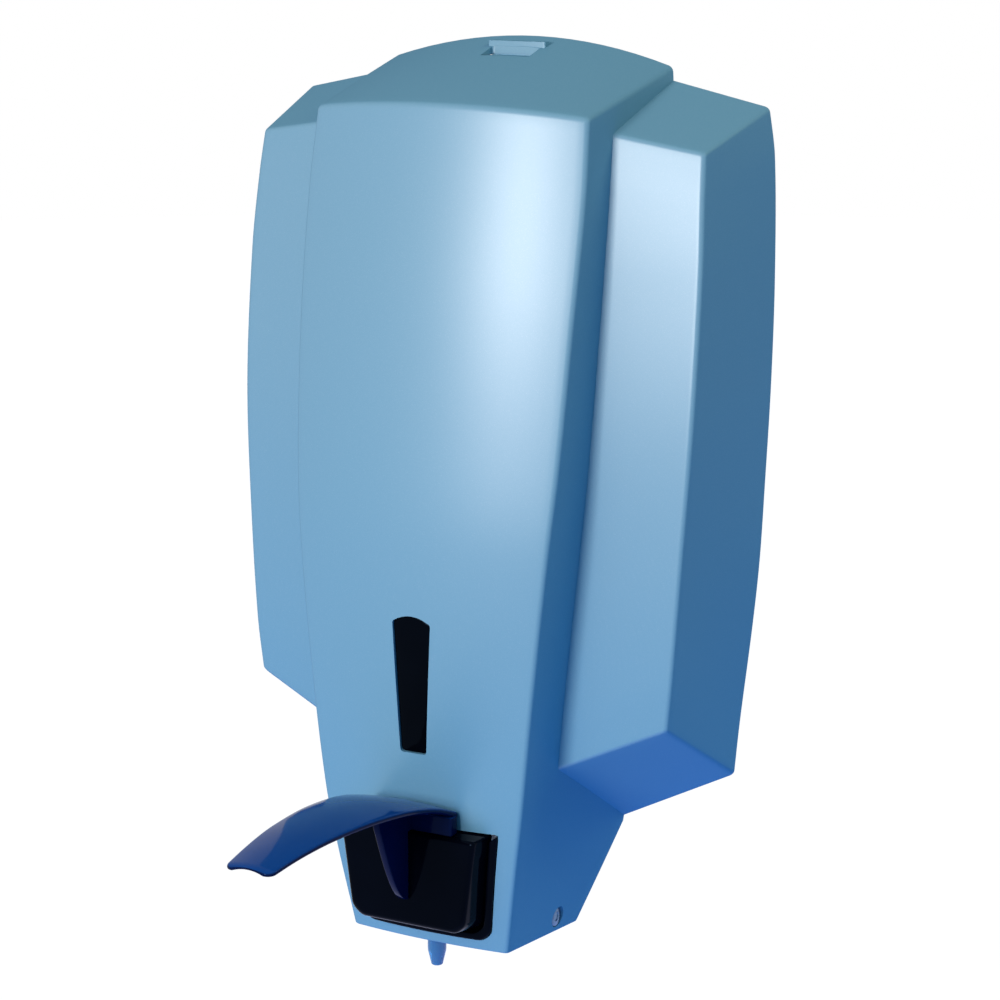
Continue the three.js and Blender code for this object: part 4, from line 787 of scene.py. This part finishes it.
def cover_form(name, inset, rows, centre_eases=None, wing_eases=None):
    """The middle part and both wings as one solid."""
    middle = centre_block(name, inset, rows, centre_eases)
    wings = [wing_block("wing", side, inset, rows, wing_eases) for side in (-1, 1)]
    return combine(middle, wings, "UNION")


cover = cover_form("front_cover", 0, COVER_ROWS, CENTRE_EASES, WING_EASES)
cover = combine(cover, [cover_form("hollow", WALL, HOLLOW_ROWS)], "DIFFERENCE")
print("faces of the shell:", len(cover.data.polygons))

# %% [markdown]
# ## Carving the cover
# The cover is the outer form less the hollow, then its openings: the slanted heel that lets
# it swing, the level window, the pad's opening, the latch slot and the two pin holes.

# %% Sizes of the openings
WINDOW = {"low": 90, "high": 151.5, "top_half": 9.3, "low_half": 6.4, "arch": 3}
WINDOW_EASES = (1.6, 0.9, 0.3)  # at the foot, at the shoulder and along the arch
OPENING = {"low": 5, "high": 57.5, "top_half": 39, "low_half": 32, "chamfer": 4, "ease": 2.4}
HINGE_DEPTH, HINGE_HEIGHT, PIN_RADIUS, HEAD_RADIUS, HEAD_THICK = 52, 3, 3.5, 4.6, 1.6
BOSS_RADIUS, BOSS_DEPTH = 7, 2.5
LATCH = {"depth": 19.5, "half_width": 11, "half_length": 5, "top": 382.4, "clear": 0.8}
LATCH_RIB = {"half_width": 14, "front": 13.4, "back": 9, "under_top": 0.15}
GAP, RUNNING_GAP = 0.3, 0.25
OVERRUN = 2  # how far a cut runs past the face it opens
CARVE_FRONT, CARVE_BACK = -121, -86
hinge_x = panel_half(HINGE_HEIGHT) + PANEL_FLARE * (1 - HINGE_DEPTH / corner_depth(HINGE_HEIGHT))
hinge_centre = (-HINGE_DEPTH, HINGE_HEIGHT)
print("half the width at the hinge:", round(hinge_x, 2))


# %% Outlines of the window and of the pad's opening
def window_outline(grow):
    """Narrower below, with a low arch on top: height of the arch is arch (1 - (x/half)^2)."""
    top, low = WINDOW["top_half"] + grow, WINDOW["low_half"] + grow
    shoulder = WINDOW["high"] + grow - WINDOW["arch"]
    x = np.linspace(1, 0, 8)[:-1] * top
    arch = np.stack([x, shoulder + WINDOW["arch"] * (1 - (x / top) ** 2)], -1)
    right = np.vstack([[[low, WINDOW["low"] - grow]], arch])
    foot_ease, shoulder_ease, arch_ease = WINDOW_EASES
    cuts = np.array([foot_ease, shoulder_ease] + [arch_ease] * 6)
    middle = [[0, WINDOW["high"] + grow]]
    points = np.vstack([right, middle, right[::-1] * (-1, 1)])
    return rounded(points, np.concatenate([cuts, [arch_ease], cuts[::-1]]), 3)


def opening_half(z):
    """Half the width of the pad's opening, wider upwards along a straight line."""
    rise = (z - OPENING["low"]) / (OPENING["high"] - OPENING["low"])
    return mix(OPENING["low_half"], OPENING["top_half"], rise)


def opening_path(grow):
    """The opening's U from its upper left end, along the foot, to its upper right end."""
    low, high, chamfer = OPENING["low"] - grow, OPENING["high"] + grow, OPENING["chamfer"]
    right = np.array(
        [
            [opening_half(low) + grow - chamfer, low],
            [opening_half(low + chamfer) + grow, low + chamfer],
            [opening_half(high) + grow, high],
        ]
    )
    return np.vstack([right[::-1] * (-1, 1), right])


# %% What is joined to the cover
# A boss round each hinge pin, and the rib that keeps light out of the latch slot
near, far = hinge_x - WALL - BOSS_DEPTH, hinge_x - WALL / 2
joins = twins(drum, "boss", (hinge_centre, BOSS_RADIUS), near, far)
rib = rectangle(LATCH_RIB["half_width"], -LATCH_RIB["front"], -LATCH_RIB["back"])
low, high = LATCH["top"] - LATCH_RIB["under_top"], LATCH["top"] + 2 * WALL
joins.append(prism("latch_rib", "z", rounded(rib, 0.8), low, high))
cover = combine(cover, joins, "UNION")
print("faces with bosses and rib:", len(cover.data.polygons))

# %% What is cut from the cover
run, far = HEEL_FORWARD / (HEEL_HEIGHT + FOOT_DROP), PANEL_DEPTH
heel = [  # the slanted lower back edge, carried on past the wall and far below the foot
    [OVERRUN * run, HEEL_HEIGHT + OVERRUN], [-HEEL_FORWARD - run * far, -FOOT_DROP - far],
    [far, -FOOT_DROP - far], [far, HEEL_HEIGHT + OVERRUN],
]
half, reach = LATCH["half_width"] + LATCH["clear"], LATCH["half_length"] + LATCH["clear"]
slot = rounded(rectangle(half, -reach - LATCH["depth"], reach - LATCH["depth"]), 1.2)
hole, opening = PIN_RADIUS + RUNNING_GAP, rounded(opening_path(0), OPENING["ease"])
cuts = [
    prism("heel", "x", heel, -WING_HALF_WIDTH, WING_HALF_WIDTH),
    drum("pin_hole", "x", hinge_centre, hole, -PANEL_HALF_WIDTH, PANEL_HALF_WIDTH),
    prism("slot", "z", slot, LATCH["top"] - 2 * WALL, LATCH["top"] + TOP_CROWN_REAR),
    prism("window", "y", window_outline(0), CARVE_FRONT, CARVE_BACK),
    prism("opening", "y", opening, CARVE_FRONT, CARVE_BACK),
]
seat = (hinge_centre, HEAD_RADIUS + RUNNING_GAP)
cuts += twins(drum, "seat", seat, hinge_x - HEAD_THICK, hinge_x + OVERRUN)
dress(combine(cover, cuts, "DIFFERENCE"), "front_cover")

# %% [markdown]
# ## Lens, rim and pad
# The lens and the rim follow the crowned front. Their outlines are drawn flat and then laid
# on the front at a given inset, so rim and lens keep an even height over the curved cover.


# %% Pieces laid on the front
def on_front(outline, inset):
    """Points (x, z) laid on the crowned front: y = -(depth of the front - inset)."""
    outline = np.asarray(outline, float)
    depth = panel_depth(outline[..., 0], outline[..., 1]) - inset
    return np.stack([outline[..., 0], -depth, outline[..., 1]], -1)


def plug(name, outline_at, levels, centre, inward=10):
    """Rings from (grow, inset) levels, closed over at both ends by shrinking to a centre."""
    rings = [on_front(outline_at(grow), inset) for grow, inset in levels]
    shares = np.linspace(0, 1, inward)[:-1]
    ends = []
    for grow, inset in (levels[0], levels[-1]):
        flat = outline_at(grow)
        ends.append([on_front(mix(centre, flat, share), inset) for share in shares])
    return closed(name, np.array(ends[0] + rings + ends[1][::-1]), caps=False)


# %% The lens
LENS_LEVELS = [  # from the back of the flange, round its edge, to the eased front
    (2.6, 5.3), (2.9, 5.2), (3.0, 4.9), (3.0, 3.7), (2.9, 3.4), (2.6, 3.3),
    (-0.3, 3.3), (-0.3, 1.4), (-0.36, 1.05), (-0.6, 0.86), (-1.0, 0.8),
]
window_centre = np.array([0, (WINDOW["low"] + WINDOW["high"]) / 2])
dress(plug("lens", window_outline, LENS_LEVELS, window_centre), "window_lens")

# %% Sizes of the rim, the pad's pin and the spout
RIM_WIDTH, RIM_PROUD, RIM_FLANGE, RIM_BEHIND = 3.2, 1.5, 5, 5.3
RIM_EASES = (0.9, 0.9, 0.5, 0.5, 0.5, 0.2)
PIVOT_DEPTH, PIVOT_HEIGHT, PIVOT_PIN_RADIUS, PIVOT_PIN_HALF = 95, 60, 2, 38
LUG_RADIUS, LUG_THICK, LUG_PLACE = 4, 4, 25
EAR_FRONT, EAR_PAST_PIN = PANEL_DEPTH - 4.5, 3.6
PUMP_HEIGHT, PUSH_DEPTH = 30, 103.6
SPOUT_DEPTH, SPOUT_BACK, SPOUT_TIP = 88.5, 83, -14.2
TIP_REACH, SPOUT_ROOM_HALF = 2.7, 6.2  # just over the radius of the spout's tip, and its room
rim_inner = GAP + RIM_WIDTH
pivot_centre = (-PIVOT_DEPTH, PIVOT_HEIGHT)


# %% The rim
# A profile of (grow, inset) is carried along the opening's U
profile = [
    [-GAP, -RIM_PROUD], [-rim_inner, -RIM_PROUD], [-rim_inner, RIM_BEHIND],
    [RIM_FLANGE, RIM_BEHIND], [RIM_FLANGE, WALL + GAP], [-GAP, WALL + GAP],
]
rings = []
for grow, inset in rounded(profile, RIM_EASES, 4):
    path = rounded(opening_path(grow), OPENING["ease"], 5, False)
    rings.append(on_front(spread(path, 5, False), inset))
rim = closed("pad_frame", np.array(rings).transpose(1, 0, 2))
print("points along the rim:", len(rings[0]))

# %% The rim's ears and holes
# The ears hold the pad's pin, and the spout's tip passes the rim as the cover swings
back, low = LUG_RADIUS - PIVOT_DEPTH, PIVOT_HEIGHT - LUG_RADIUS
high = PIVOT_HEIGHT + LUG_RADIUS
ear = [[back, low], [back, high], [-EAR_FRONT, high], [-EAR_FRONT, low - LUG_RADIUS]]
near, far = OPENING["top_half"] - rim_inner, PIVOT_PIN_HALF + EAR_PAST_PIN
rim = combine(rim, twins(prism, "ear", [rounded(ear, 1.2)], near, far, [0.4]), "UNION")
sweep = math.hypot(SPOUT_DEPTH + TIP_REACH - HINGE_DEPTH, HINGE_HEIGHT - SPOUT_TIP) + 2 * GAP
end = PIVOT_PIN_HALF + OVERRUN
cuts = [
    drum("pin", "x", pivot_centre, PIVOT_PIN_RADIUS + GAP, -end, end),
    drum("room", "x", hinge_centre, sweep, -SPOUT_ROOM_HALF, SPOUT_ROOM_HALF, 144),
]
dress(combine(rim, cuts, "DIFFERENCE"), "pad_frame")

# %% [markdown]
# ## The pad
# The pad is a hollow block that is open behind. Its front is drawn in at the sides and foot,
# and its edges are round. The rings run from the bottom of the hollow, over the rear rim and
# round the front, so that one closed surface makes both walls.

# %% Sizes of the pad
PAD = {
    "clear": 0.8, "front": 115.5, "back": 101, "wall": 2.5, "taper": 1.3, "lift": 3.2, "ease": 2,
    "rib_half": 6, "rib_high": 11,
}
PAD_SKIRT = {
    "deep": 10.1, "flange": 1, "flare": 2.2, "clear_half": 8.5, "blend": 4, "top": 50, "fall": 10,
}
PAD_EASES = (2.4, 2.4, 1.4, 1.4, 2.4, 2.4)
SCREW_X, SCREW_BORE, SCREW_DEPTH, SCREW_SHANK = 14, 1.5, 109, 1.2
pad_low = OPENING["low"] + rim_inner + PAD["clear"]
pad_high = OPENING["high"] - PAD["clear"]
print("pad from", round(pad_low, 1), "to", round(pad_high, 1))


# %% The pad's rings
def pad_outline(inset, lift, high):
    """The pad's outline, drawn in by inset, with its foot raised by lift."""
    low, chamfer = pad_low + inset + lift, OPENING["chamfer"]

    def half(z):
        return opening_half(z) - rim_inner - PAD["clear"] - inset

    right = [[half(low) - chamfer, low], [half(low + chamfer), low + chamfer], [half(high), high]]
    return spread(rounded(mirrored(right), PAD_EASES, 5), 6)


def pad_ring(depth, inset, lift, high, skirt=0.0, flare=0.0):
    """The pad's outline at a depth. Beside and below, by step(|x|) * step(z), it goes deeper by
    skirt and outwards by flare, for the skirt that closes the gap to the rim."""
    outline = pad_outline(inset, lift, high)
    beside = np.clip((np.abs(outline[:, 0]) - PAD_SKIRT["clear_half"]) / PAD_SKIRT["blend"], 0, 1)
    below = np.clip((PAD_SKIRT["top"] - outline[:, 1]) / PAD_SKIRT["fall"], 0, 1)
    step = (beside * below) ** 2 * (3 - 2 * beside * below)
    wide = mix(outline, pad_outline(inset - flare, lift, high), step[:, None])
    return placed("y", wide, -(depth - skirt * step))


def shrinking(ring, shares):
    """Copies of a ring, shrunk to its middle, that close a surface over."""
    middle = ring.mean(0)
    return [mix(middle, ring, share) for share in shares]


# %% The pad's two walls
# The hollow, the rear rim with its skirt and the front with its eased edge, ring by ring
front, back, wall, ease = PAD["front"], PAD["back"], PAD["wall"], PAD["ease"]
deep, flare = PAD_SKIRT["deep"], PAD_SKIRT["flare"]
shares = np.linspace(0, 1, 12)
hollow = pad_ring(front - wall, PAD["taper"] + wall, PAD["lift"], pad_high - wall)
rows = shrinking(hollow, shares[:-1]) + [hollow]
rear = [  # how far out from the back, how far drawn in, skirt and flare
    (0, wall, deep, flare), (0, 0.3, deep, flare), (0.1, 0, deep, flare),
    (0.2, 0, deep - PAD_SKIRT["flange"], flare), (0.3, 0, deep - PAD_SKIRT["flange"], 0),
]
rows += [pad_ring(back + out, drawn, 0, pad_high - drawn, *skirt) for out, drawn, *skirt in rear]
for angle in np.linspace(0, np.pi / 2, 7):
    depth = front - ease + ease * math.sin(angle)
    drawn = ease * (1 - math.cos(angle))
    step = (depth - back) / (front - back)
    rows.append(pad_ring(depth, PAD["taper"] * step + drawn, PAD["lift"] * step, pad_high - drawn))
rows += shrinking(rows[-1], shares[::-1][1:])
pad = closed("push_pad", np.array(rows), caps=False)
print("rings of the pad:", len(rows))

# %% The pad's rib and lugs
rib = rounded(rectangle(PAD["rib_half"], -front + wall / 2, -PUSH_DEPTH), 0.8)
low, high = PUMP_HEIGHT - PAD["rib_high"], PUMP_HEIGHT + PAD["rib_high"]
joins = [prism("rib", "z", rib, low, high, 0.5)]
r, (y, z) = LUG_RADIUS, pivot_centre
lug = [
    [y + r, z - r], [y + r, z + r / 2], [y + r / 2, z + r], [y - r / 2, z + r], [y - r, z],
    [-back, pad_high - GAP], [-back - wall, pad_high - GAP],
    [-back - 2 * wall, pad_high - wall + GAP], [-back - wall, pad_high - 4 * wall],
]
joins += twins(prism, "lug", [rounded(lug, 0.8, 3)], LUG_PLACE, LUG_PLACE + LUG_THICK, [0.3])
pad = combine(pad, joins, "UNION")
print("faces with rib and lugs:", len(pad.data.polygons))


# %% The pad's bores
def screw_holes(radius, low, high):
    """The holes of the two screws that hold the lever on the pad."""
    return [
        drum("hole", "z", (side * SCREW_X, -SCREW_DEPTH), radius, low, high) for side in (-1, 1)
    ]


radius = PIVOT_PIN_RADIUS + RUNNING_GAP
cuts = [drum("bore", "x", pivot_centre, radius, -PIVOT_PIN_HALF, PIVOT_PIN_HALF)]
cuts += screw_holes(SCREW_BORE, pad_high - 2 * wall, pad_high + OVERRUN)
dress(combine(pad, cuts, "DIFFERENCE"), "push_pad")

# %% [markdown]
# ## The elbow lever
# The lever is an arched paddle. Across, it is a thin crowned plate with full round edges, and
# along, its height and width follow a table. The tip is rounded in plan as well. A flange and
# a thin web under the root carry it down to the pad.

# %% Sizes of the lever
LEVER = {
    "reach": 240, "root": 108, "height": 66.5, "rise": 16.5, "half": 21.5,
    "thick": (2.8, 1.8), "crown": 1.6, "tip_round": 3.5, "flange": 113.7,
    "web_thick": 3, "web_reach": 141, "web_low": 26,
}
# Share of the length, share of the rise, share of the half width
LEVER_EDGE_SHARES = np.array(
    [
        [0, 0, 1], [0.08, 0.27, 0.98], [0.17, 0.5, 0.95], [0.27, 0.69, 0.915],
        [0.37, 0.82, 0.875], [0.49, 0.93, 0.82], [0.62, 0.99, 0.745],
        [0.74, 1, 0.675], [0.87, 0.94, 0.59], [1, 0.82, 0.512],
    ]
)
lever_length = LEVER["reach"] - LEVER["root"]
print("lever length:", lever_length)


# %% The paddle
def paddle():
    """Cross-sections: x = half a, z = arch + crown (1 - a^2), with half-circle edges."""
    tip, crown = LEVER["tip_round"], LEVER["crown"]
    near_tip = np.sin(np.linspace(0, np.pi / 2, 14)[1:])
    share = np.concatenate(
        [np.linspace(0, 1 - tip / lever_length, 44), 1 - tip / lever_length * (1 - near_tip)]
    )
    depth = LEVER["root"] + lever_length * share
    edge = LEVER["height"] + LEVER["rise"] * reading(LEVER_EDGE_SHARES, share, 1)
    left = np.maximum(depth - (LEVER["reach"] - tip), 0) / tip
    half = LEVER["half"] * reading(LEVER_EDGE_SHARES, share, 2)
    half = half - tip * (1 - np.sqrt(1 - left**2))
    thick = mix(*LEVER["thick"], share)
    radius = thick / 2 * np.sqrt(np.maximum(1 - (left * 0.9) ** 2, 0))
    half, radius, middle = (column[:, None] for column in (half, radius, edge - thick / 2))
    across = np.linspace(-1, 1, 26)
    angle = np.linspace(np.pi / 2, -np.pi / 2, 9)[1:-1]
    reach = half - radius
    over_x = np.hstack([across * reach, reach + radius * np.cos(angle)])
    over_z = np.hstack([0 * across * reach + radius, radius * np.sin(angle)])
    x = np.hstack([over_x, -over_x])
    z = middle + crown * (1 - np.clip(x / half, -1, 1) ** 2) + np.hstack([over_z, -over_z])
    return closed("elbow_lever", np.stack([x, -depth[:, None] + 0 * x, z], -1))


# %% The flange and the web under the lever
# The web's front edge falls as sin(t) to the pad, and its upper edge follows the arch
root, flange, web_reach = LEVER["root"], LEVER["flange"], LEVER["web_reach"]
flange_low, face = pad_high + GAP, PAD["front"] + GAP
foot = rounded(rectangle(LEVER["half"], -flange, -root), 1.2)
joins = [prism("flange", "z", foot, flange_low, LEVER["height"] - 1.2, 0.5)]
top = LEVER["height"] + LEVER["crown"] - LEVER["thick"][1]
t = np.linspace(0, 1, 14)
fall = (top - LEVER["web_low"]) * np.sin(t * np.pi / 2)
curve = np.stack([-mix(web_reach, face, t), top - fall], -1)
t = np.linspace(0.2, 1, 6)
arch = LEVER["rise"] * reading(LEVER_EDGE_SHARES, t * ((web_reach - root) / lever_length), 1)
under = np.stack([-mix(root, web_reach, t), top + arch], -1)
rear = -flange + LEVER["thick"][0]
web = np.vstack([curve, [[-face, flange_low], [rear, flange_low], [rear, top]], under])
half_web = LEVER["web_thick"] / 2
joins.append(prism("web", "x", web, -half_web, half_web, 0.5))
print("points of the web:", len(web))

# %% The lever
SCREW_BITE = 4.3
lever = combine(paddle(), joins, "UNION")
cuts = screw_holes(SCREW_SHANK + RUNNING_GAP, flange_low - OVERRUN, flange_low + SCREW_BITE)
dress(combine(lever, cuts, "DIFFERENCE"), "elbow_lever")

# %% [markdown]
# ## Spout, pins and round parts
# Turned parts are a profile carried round an axis. A CAD drum has a few dozen flat sides, so
# the parts that show from outside are turned again with twice as many and with eased edges.

# %% The spout's outside
# A domed head along y and a tapered stem along z, as profiles of radius and place
pump, outlet, head = (0, PUMP_HEIGHT), (0, -SPOUT_DEPTH), 6
angle = np.linspace(0, np.pi / 2, 14)
along = -(PUSH_DEPTH - GAP - head) - head * np.cos(angle)
dome = np.stack([head * np.sin(angle), along], -1)
rear = [[head, -SPOUT_BACK - 0.4], [head - 0.4, -SPOUT_BACK], [0, -SPOUT_BACK]]
spout = turned("spout", "y", pump, np.vstack([dome, rear]))
stem = [
    [0, SPOUT_TIP], [2.3, SPOUT_TIP], [2.62, SPOUT_TIP + 0.3], [4.1, -7.6], [4.2, -6.6],
    [4.2, PUMP_HEIGHT], [0, PUMP_HEIGHT],
]
spout = combine(spout, [turned("stem", "z", outlet, stem)], "UNION")
print("faces of the spout's outside:", len(spout.data.polygons))

# %% The spout's bores
NARROW_BORE, WIDE_BORE, BORE_STEP = 1.5, 2.7, 1.7
SOCKET_RADIUS, SOCKET_DEEP = 3.8, 4.5
low = SPOUT_TIP - OVERRUN
bore = [
    [0, low], [NARROW_BORE, low], [NARROW_BORE, BORE_STEP], [WIDE_BORE, BORE_STEP],
    [WIDE_BORE, PUMP_HEIGHT], [0, PUMP_HEIGHT],
]
socket_front = -SPOUT_BACK - SOCKET_DEEP
cuts = [
    turned("bore", "z", outlet, bore, 48),
    drum("socket", "y", pump, SOCKET_RADIUS, socket_front, -SPOUT_BACK + OVERRUN),
    drum("link", "y", pump, NARROW_BORE, -SPOUT_DEPTH, -SPOUT_BACK),
]
dress(combine(spout, cuts, "DIFFERENCE"), "spout")


# %% Hinge pins and the pad's pin
def make_hinge_pin(side):
    """A turned pin with a low domed head and a shallow dish in it, eased at every edge."""
    shoulder = hinge_x - HEAD_THICK + GAP
    profile = np.array(
        [
            [0, 29], [3.1, 29], [PIN_RADIUS, 29.4], [PIN_RADIUS, shoulder], [4.3, shoulder],
            [HEAD_RADIUS, shoulder + 0.25], [HEAD_RADIUS, hinge_x - 0.5], [4.3, hinge_x - 0.15],
            [3.2, hinge_x - 0.02], [2.2, hinge_x], [2.0, hinge_x - 0.35], [0, hinge_x - 0.35],
        ]
    )
    return turned("hinge_pin", "x", hinge_centre, profile * (1, side))


dress(make_hinge_pin(-1), "hinge_pin_left", pin_steel)
dress(make_hinge_pin(1), "hinge_pin_right", pin_steel)
pin_profile = [[0, -38], [1.7, -38], [2, -37.7], [2, 37.7], [1.7, 38], [0, 38]]
dress(turned("pad_pin", "x", pivot_centre, pin_profile), "pad_pin")

# %% [markdown]
# ## Springs
# A coil is a round wire along a helix. Its ring of points is set square to the wire: one
# direction points away from the axis, the other is the cross product with the wire's run. As
# the pump or the latch moves, the real coil closes up.

# %% A coil
WIRE, TURNS, STEPS_A_TURN, WIRE_SIDES = 0.9, 3.5, 40, 12


def coil(name, axis, centre, radius, low, high):
    """Helix: centre + radius (cos a, sin a), along from low to high, with a tube round it."""
    angle = np.linspace(0, 2 * np.pi * TURNS, int(TURNS * STEPS_A_TURN) + 1)[:, None]
    out = np.hstack([np.cos(angle), np.sin(angle), 0 * angle])
    along = low + WIRE / 2 + (high - low - WIRE) * angle / angle[-1]
    path = out * radius + np.hstack([angle * 0, angle * 0, along])
    run = np.gradient(path, axis=0)
    run /= np.linalg.norm(run, axis=1, keepdims=True)
    side = np.cross(run, out)
    turn = np.arange(WIRE_SIDES)[:, None] * np.pi / (WIRE_SIDES / 2)
    tube = path[:, None] + WIRE / 2 * (out[:, None] * np.cos(turn) + side[:, None] * np.sin(turn))
    return closed(name, placed(axis, tube[..., :2] + np.array(centre), tube[..., 2]))


# %% Both springs
spring = dress(coil("return_spring", "y", (0, PUMP_HEIGHT), 5.6, -82.7, -68.3), "return_spring")
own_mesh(spring)
latch_spring = coil("latch_spring", "z", (0, -LATCH["depth"]), 3.2, 352.8, 363.7)
dress(latch_spring, "latch_spring")
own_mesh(latch_spring)
print("turns of each spring:", TURNS)

# %% [markdown]
# ## Inside parts
# The plate, the shelf, the cradle, the tank and the pump are seen only with the cover swung
# open. Their solids already have the right shape, so each gets a merged copy with rounded
# edges and its own grain, which is quicker than drawing them again and fits as exactly.

# %% Inside parts
SOFT_EDGES = {  # millimetres; 0 for parts that are round all over
    "wall_plate": 0.5, "tank_shelf": 0.5, "pump_cradle": 0.5, "tank": 1.2, "latch_tongue": 0.4,
    "shelf_screw_left": 0.2, "shelf_screw_right": 0.2, "cradle_screw_left": 0.2,
    "cradle_screw_right": 0.2, "lever_screw_left": 0.15, "lever_screw_right": 0.15,
    "filler_cap": 0.3, "filler_seal": 0.2, "outlet_seal": 0, "pump_body": 0.4,
    "pump_gland": 0.4, "inlet_ball": 0, "plunger": 0.2, "piston_seal": 0, "outlet_valve": 0.15,
}
for node, edge in SOFT_EDGES.items():
    dress(softened(node, edge), node)
print("inside parts:", len(SOFT_EDGES))

# %% [markdown]
# ## Floor, light and camera
# The dispenser is shown alone on white. The floor takes a soft shadow. Camera, mirror and
# see-through rays find it white, so the background is clean and the metal shows the same
# room, while the lamps alone decide how bright the object is.

# %% What the camera finds white
EYE_RAYS = ("Is Camera Ray", "Is Glossy Ray", "Is Transmission Ray")
WHITE = (1, 1, 1, 1)


def white_to_eye(nodes, lit, white, share):
    """The lit shader, mixed with white by share * (camera + glossy + transmission ray)."""
    camera, glossy, through = (nodes.node("ShaderNodeLightPath", output=ray) for ray in EYE_RAYS)
    factor = share * (camera + glossy + through)
    return nodes.node("ShaderNodeMixShader", {}, {0: factor, 1: lit, 2: white})


# %% Floor
FLOOR_HEIGHT, FLOOR_RADIUS, FLOOR_SIDES = -1.0, 9, 96  # metres, metres and a count
FLOOR_SHADOW = 0.1  # share of the lit floor in what the camera sees
FLOOR_GLOW = 1.12  # makes the sum of both shares white where no shadow falls
rim_points = circle((0, 0), FLOOR_RADIUS, FLOOR_SIDES)
floor_mesh = bpy.data.meshes.new("floor")
floor_mesh.from_pydata(
    np.column_stack([rim_points, np.full(FLOOR_SIDES, FLOOR_HEIGHT)]), [], [list(range(FLOOR_SIDES))]
)
paint = Paint("pale_floor", base_color=(0.12, 0.4, 0.75, 1), roughness=0.9)
glow = paint.node("ShaderNodeEmission", {}, {"Strength": FLOOR_GLOW})
seen = white_to_eye(paint, Wire(paint, paint.shader.outputs[0]), glow, 1 - FLOOR_SHADOW)
paint.feed(paint.tree.nodes["Material Output"].inputs[0], seen)
floor_mesh.materials.append(paint.material)
floor = linked("floor", floor_mesh)
print("floor at", FLOOR_HEIGHT)

# %% World
WORLD_COLOUR, WORLD_STRENGTH = (0.26, 0.7, 1.0, 1), 0.3
world = bpy.data.worlds.new("studio")
bpy.context.scene.world = world
world.use_nodes = True
nodes = Nodes(world.node_tree)
sky = nodes.tree.nodes["Background"]
nodes.feed(sky.inputs["Color"], WORLD_COLOUR)
nodes.feed(sky.inputs["Strength"], WORLD_STRENGTH)
white = nodes.node("ShaderNodeBackground", {}, {"Color": WHITE})
seen = white_to_eye(nodes, Wire(nodes, sky.outputs[0]), white, 1.0)
nodes.feed(nodes.tree.nodes["World Output"].inputs[0], seen)
print("world strength:", WORLD_STRENGTH)

# %% Lamps
LAMPS = {  # place, target, (width, height), watts and colour
    "key_lamp": ((-0.14, -1.7, 0.52), (0, -0.05, 0.08), (0.38, 0.6), 22, (1.0, 0.92, 0.88)),
    "side_lamp": ((1.03, 0.48, 1.18), (0.06, -0.03, 0.05), (0.6, 0.6), 5.6, (1.0, 0.97, 0.66)),
    "back_lamp": ((0.1, 2.0, 0.1), (0, -0.05, 0.05), (1.4, 1.4), 32, (1, 1, 1)),
    "low_lamp": ((0.35, 0.3, -0.9), (0.35, 0.29, 0.0), (2.4, 2.4), 7.5, (0.0, 0.06, 1.0)),
}


def soft_lamp(name, place, target, size, energy, tint):
    """A soft lamp at a place, turned towards a target."""
    data = bpy.data.lights.new(name, "AREA")
    data.shape = "RECTANGLE"
    data.size, data.size_y = size
    data.energy, data.color = energy, tint
    lamp = linked(name, data)
    lamp.location = place
    lamp.visible_camera = False
    lamp.rotation_euler = (Vector(target) - Vector(place)).to_track_quat("-Z", "Y").to_euler()


for name, values in LAMPS.items():
    soft_lamp(name, *values)
print("lamps:", list(LAMPS))

# %% [markdown]
# ## The camera
# The photograph looks from the right and a little from above with a long lens. The camera is
# put at that angle and its frame is squared on the object, with no shift and no blur.

# %% Camera
AZIMUTH, ELEVATION = math.radians(28), math.radians(13.135)
CAMERA_DISTANCE, CAMERA_SIDE, CAMERA_HEIGHT, LENS = 1.2906, -0.01352, 0.0299, 101.56
level = math.cos(ELEVATION)
back = Vector((math.sin(AZIMUTH) * level, -math.cos(AZIMUTH) * level, math.sin(ELEVATION)))
right = Vector((math.cos(AZIMUTH), math.sin(AZIMUTH), 0))
up = back.cross(right)
camera_data = bpy.data.cameras.new("camera")
camera_data.lens, camera_data.sensor_width, camera_data.clip_start = LENS, 36, 0.01
camera = linked("camera", camera_data)
turn = Matrix((right, up, back)).transposed().to_4x4()
place = Vector((0, 0, CAMERA_HEIGHT)) + right * CAMERA_SIDE + back * CAMERA_DISTANCE
camera.matrix_world = Matrix.Translation(place) @ turn
bpy.context.scene.camera = camera
bpy.context.scene.view_settings.view_transform = "Standard"
print("camera at", [round(value, 3) for value in camera.matrix_world.translation])
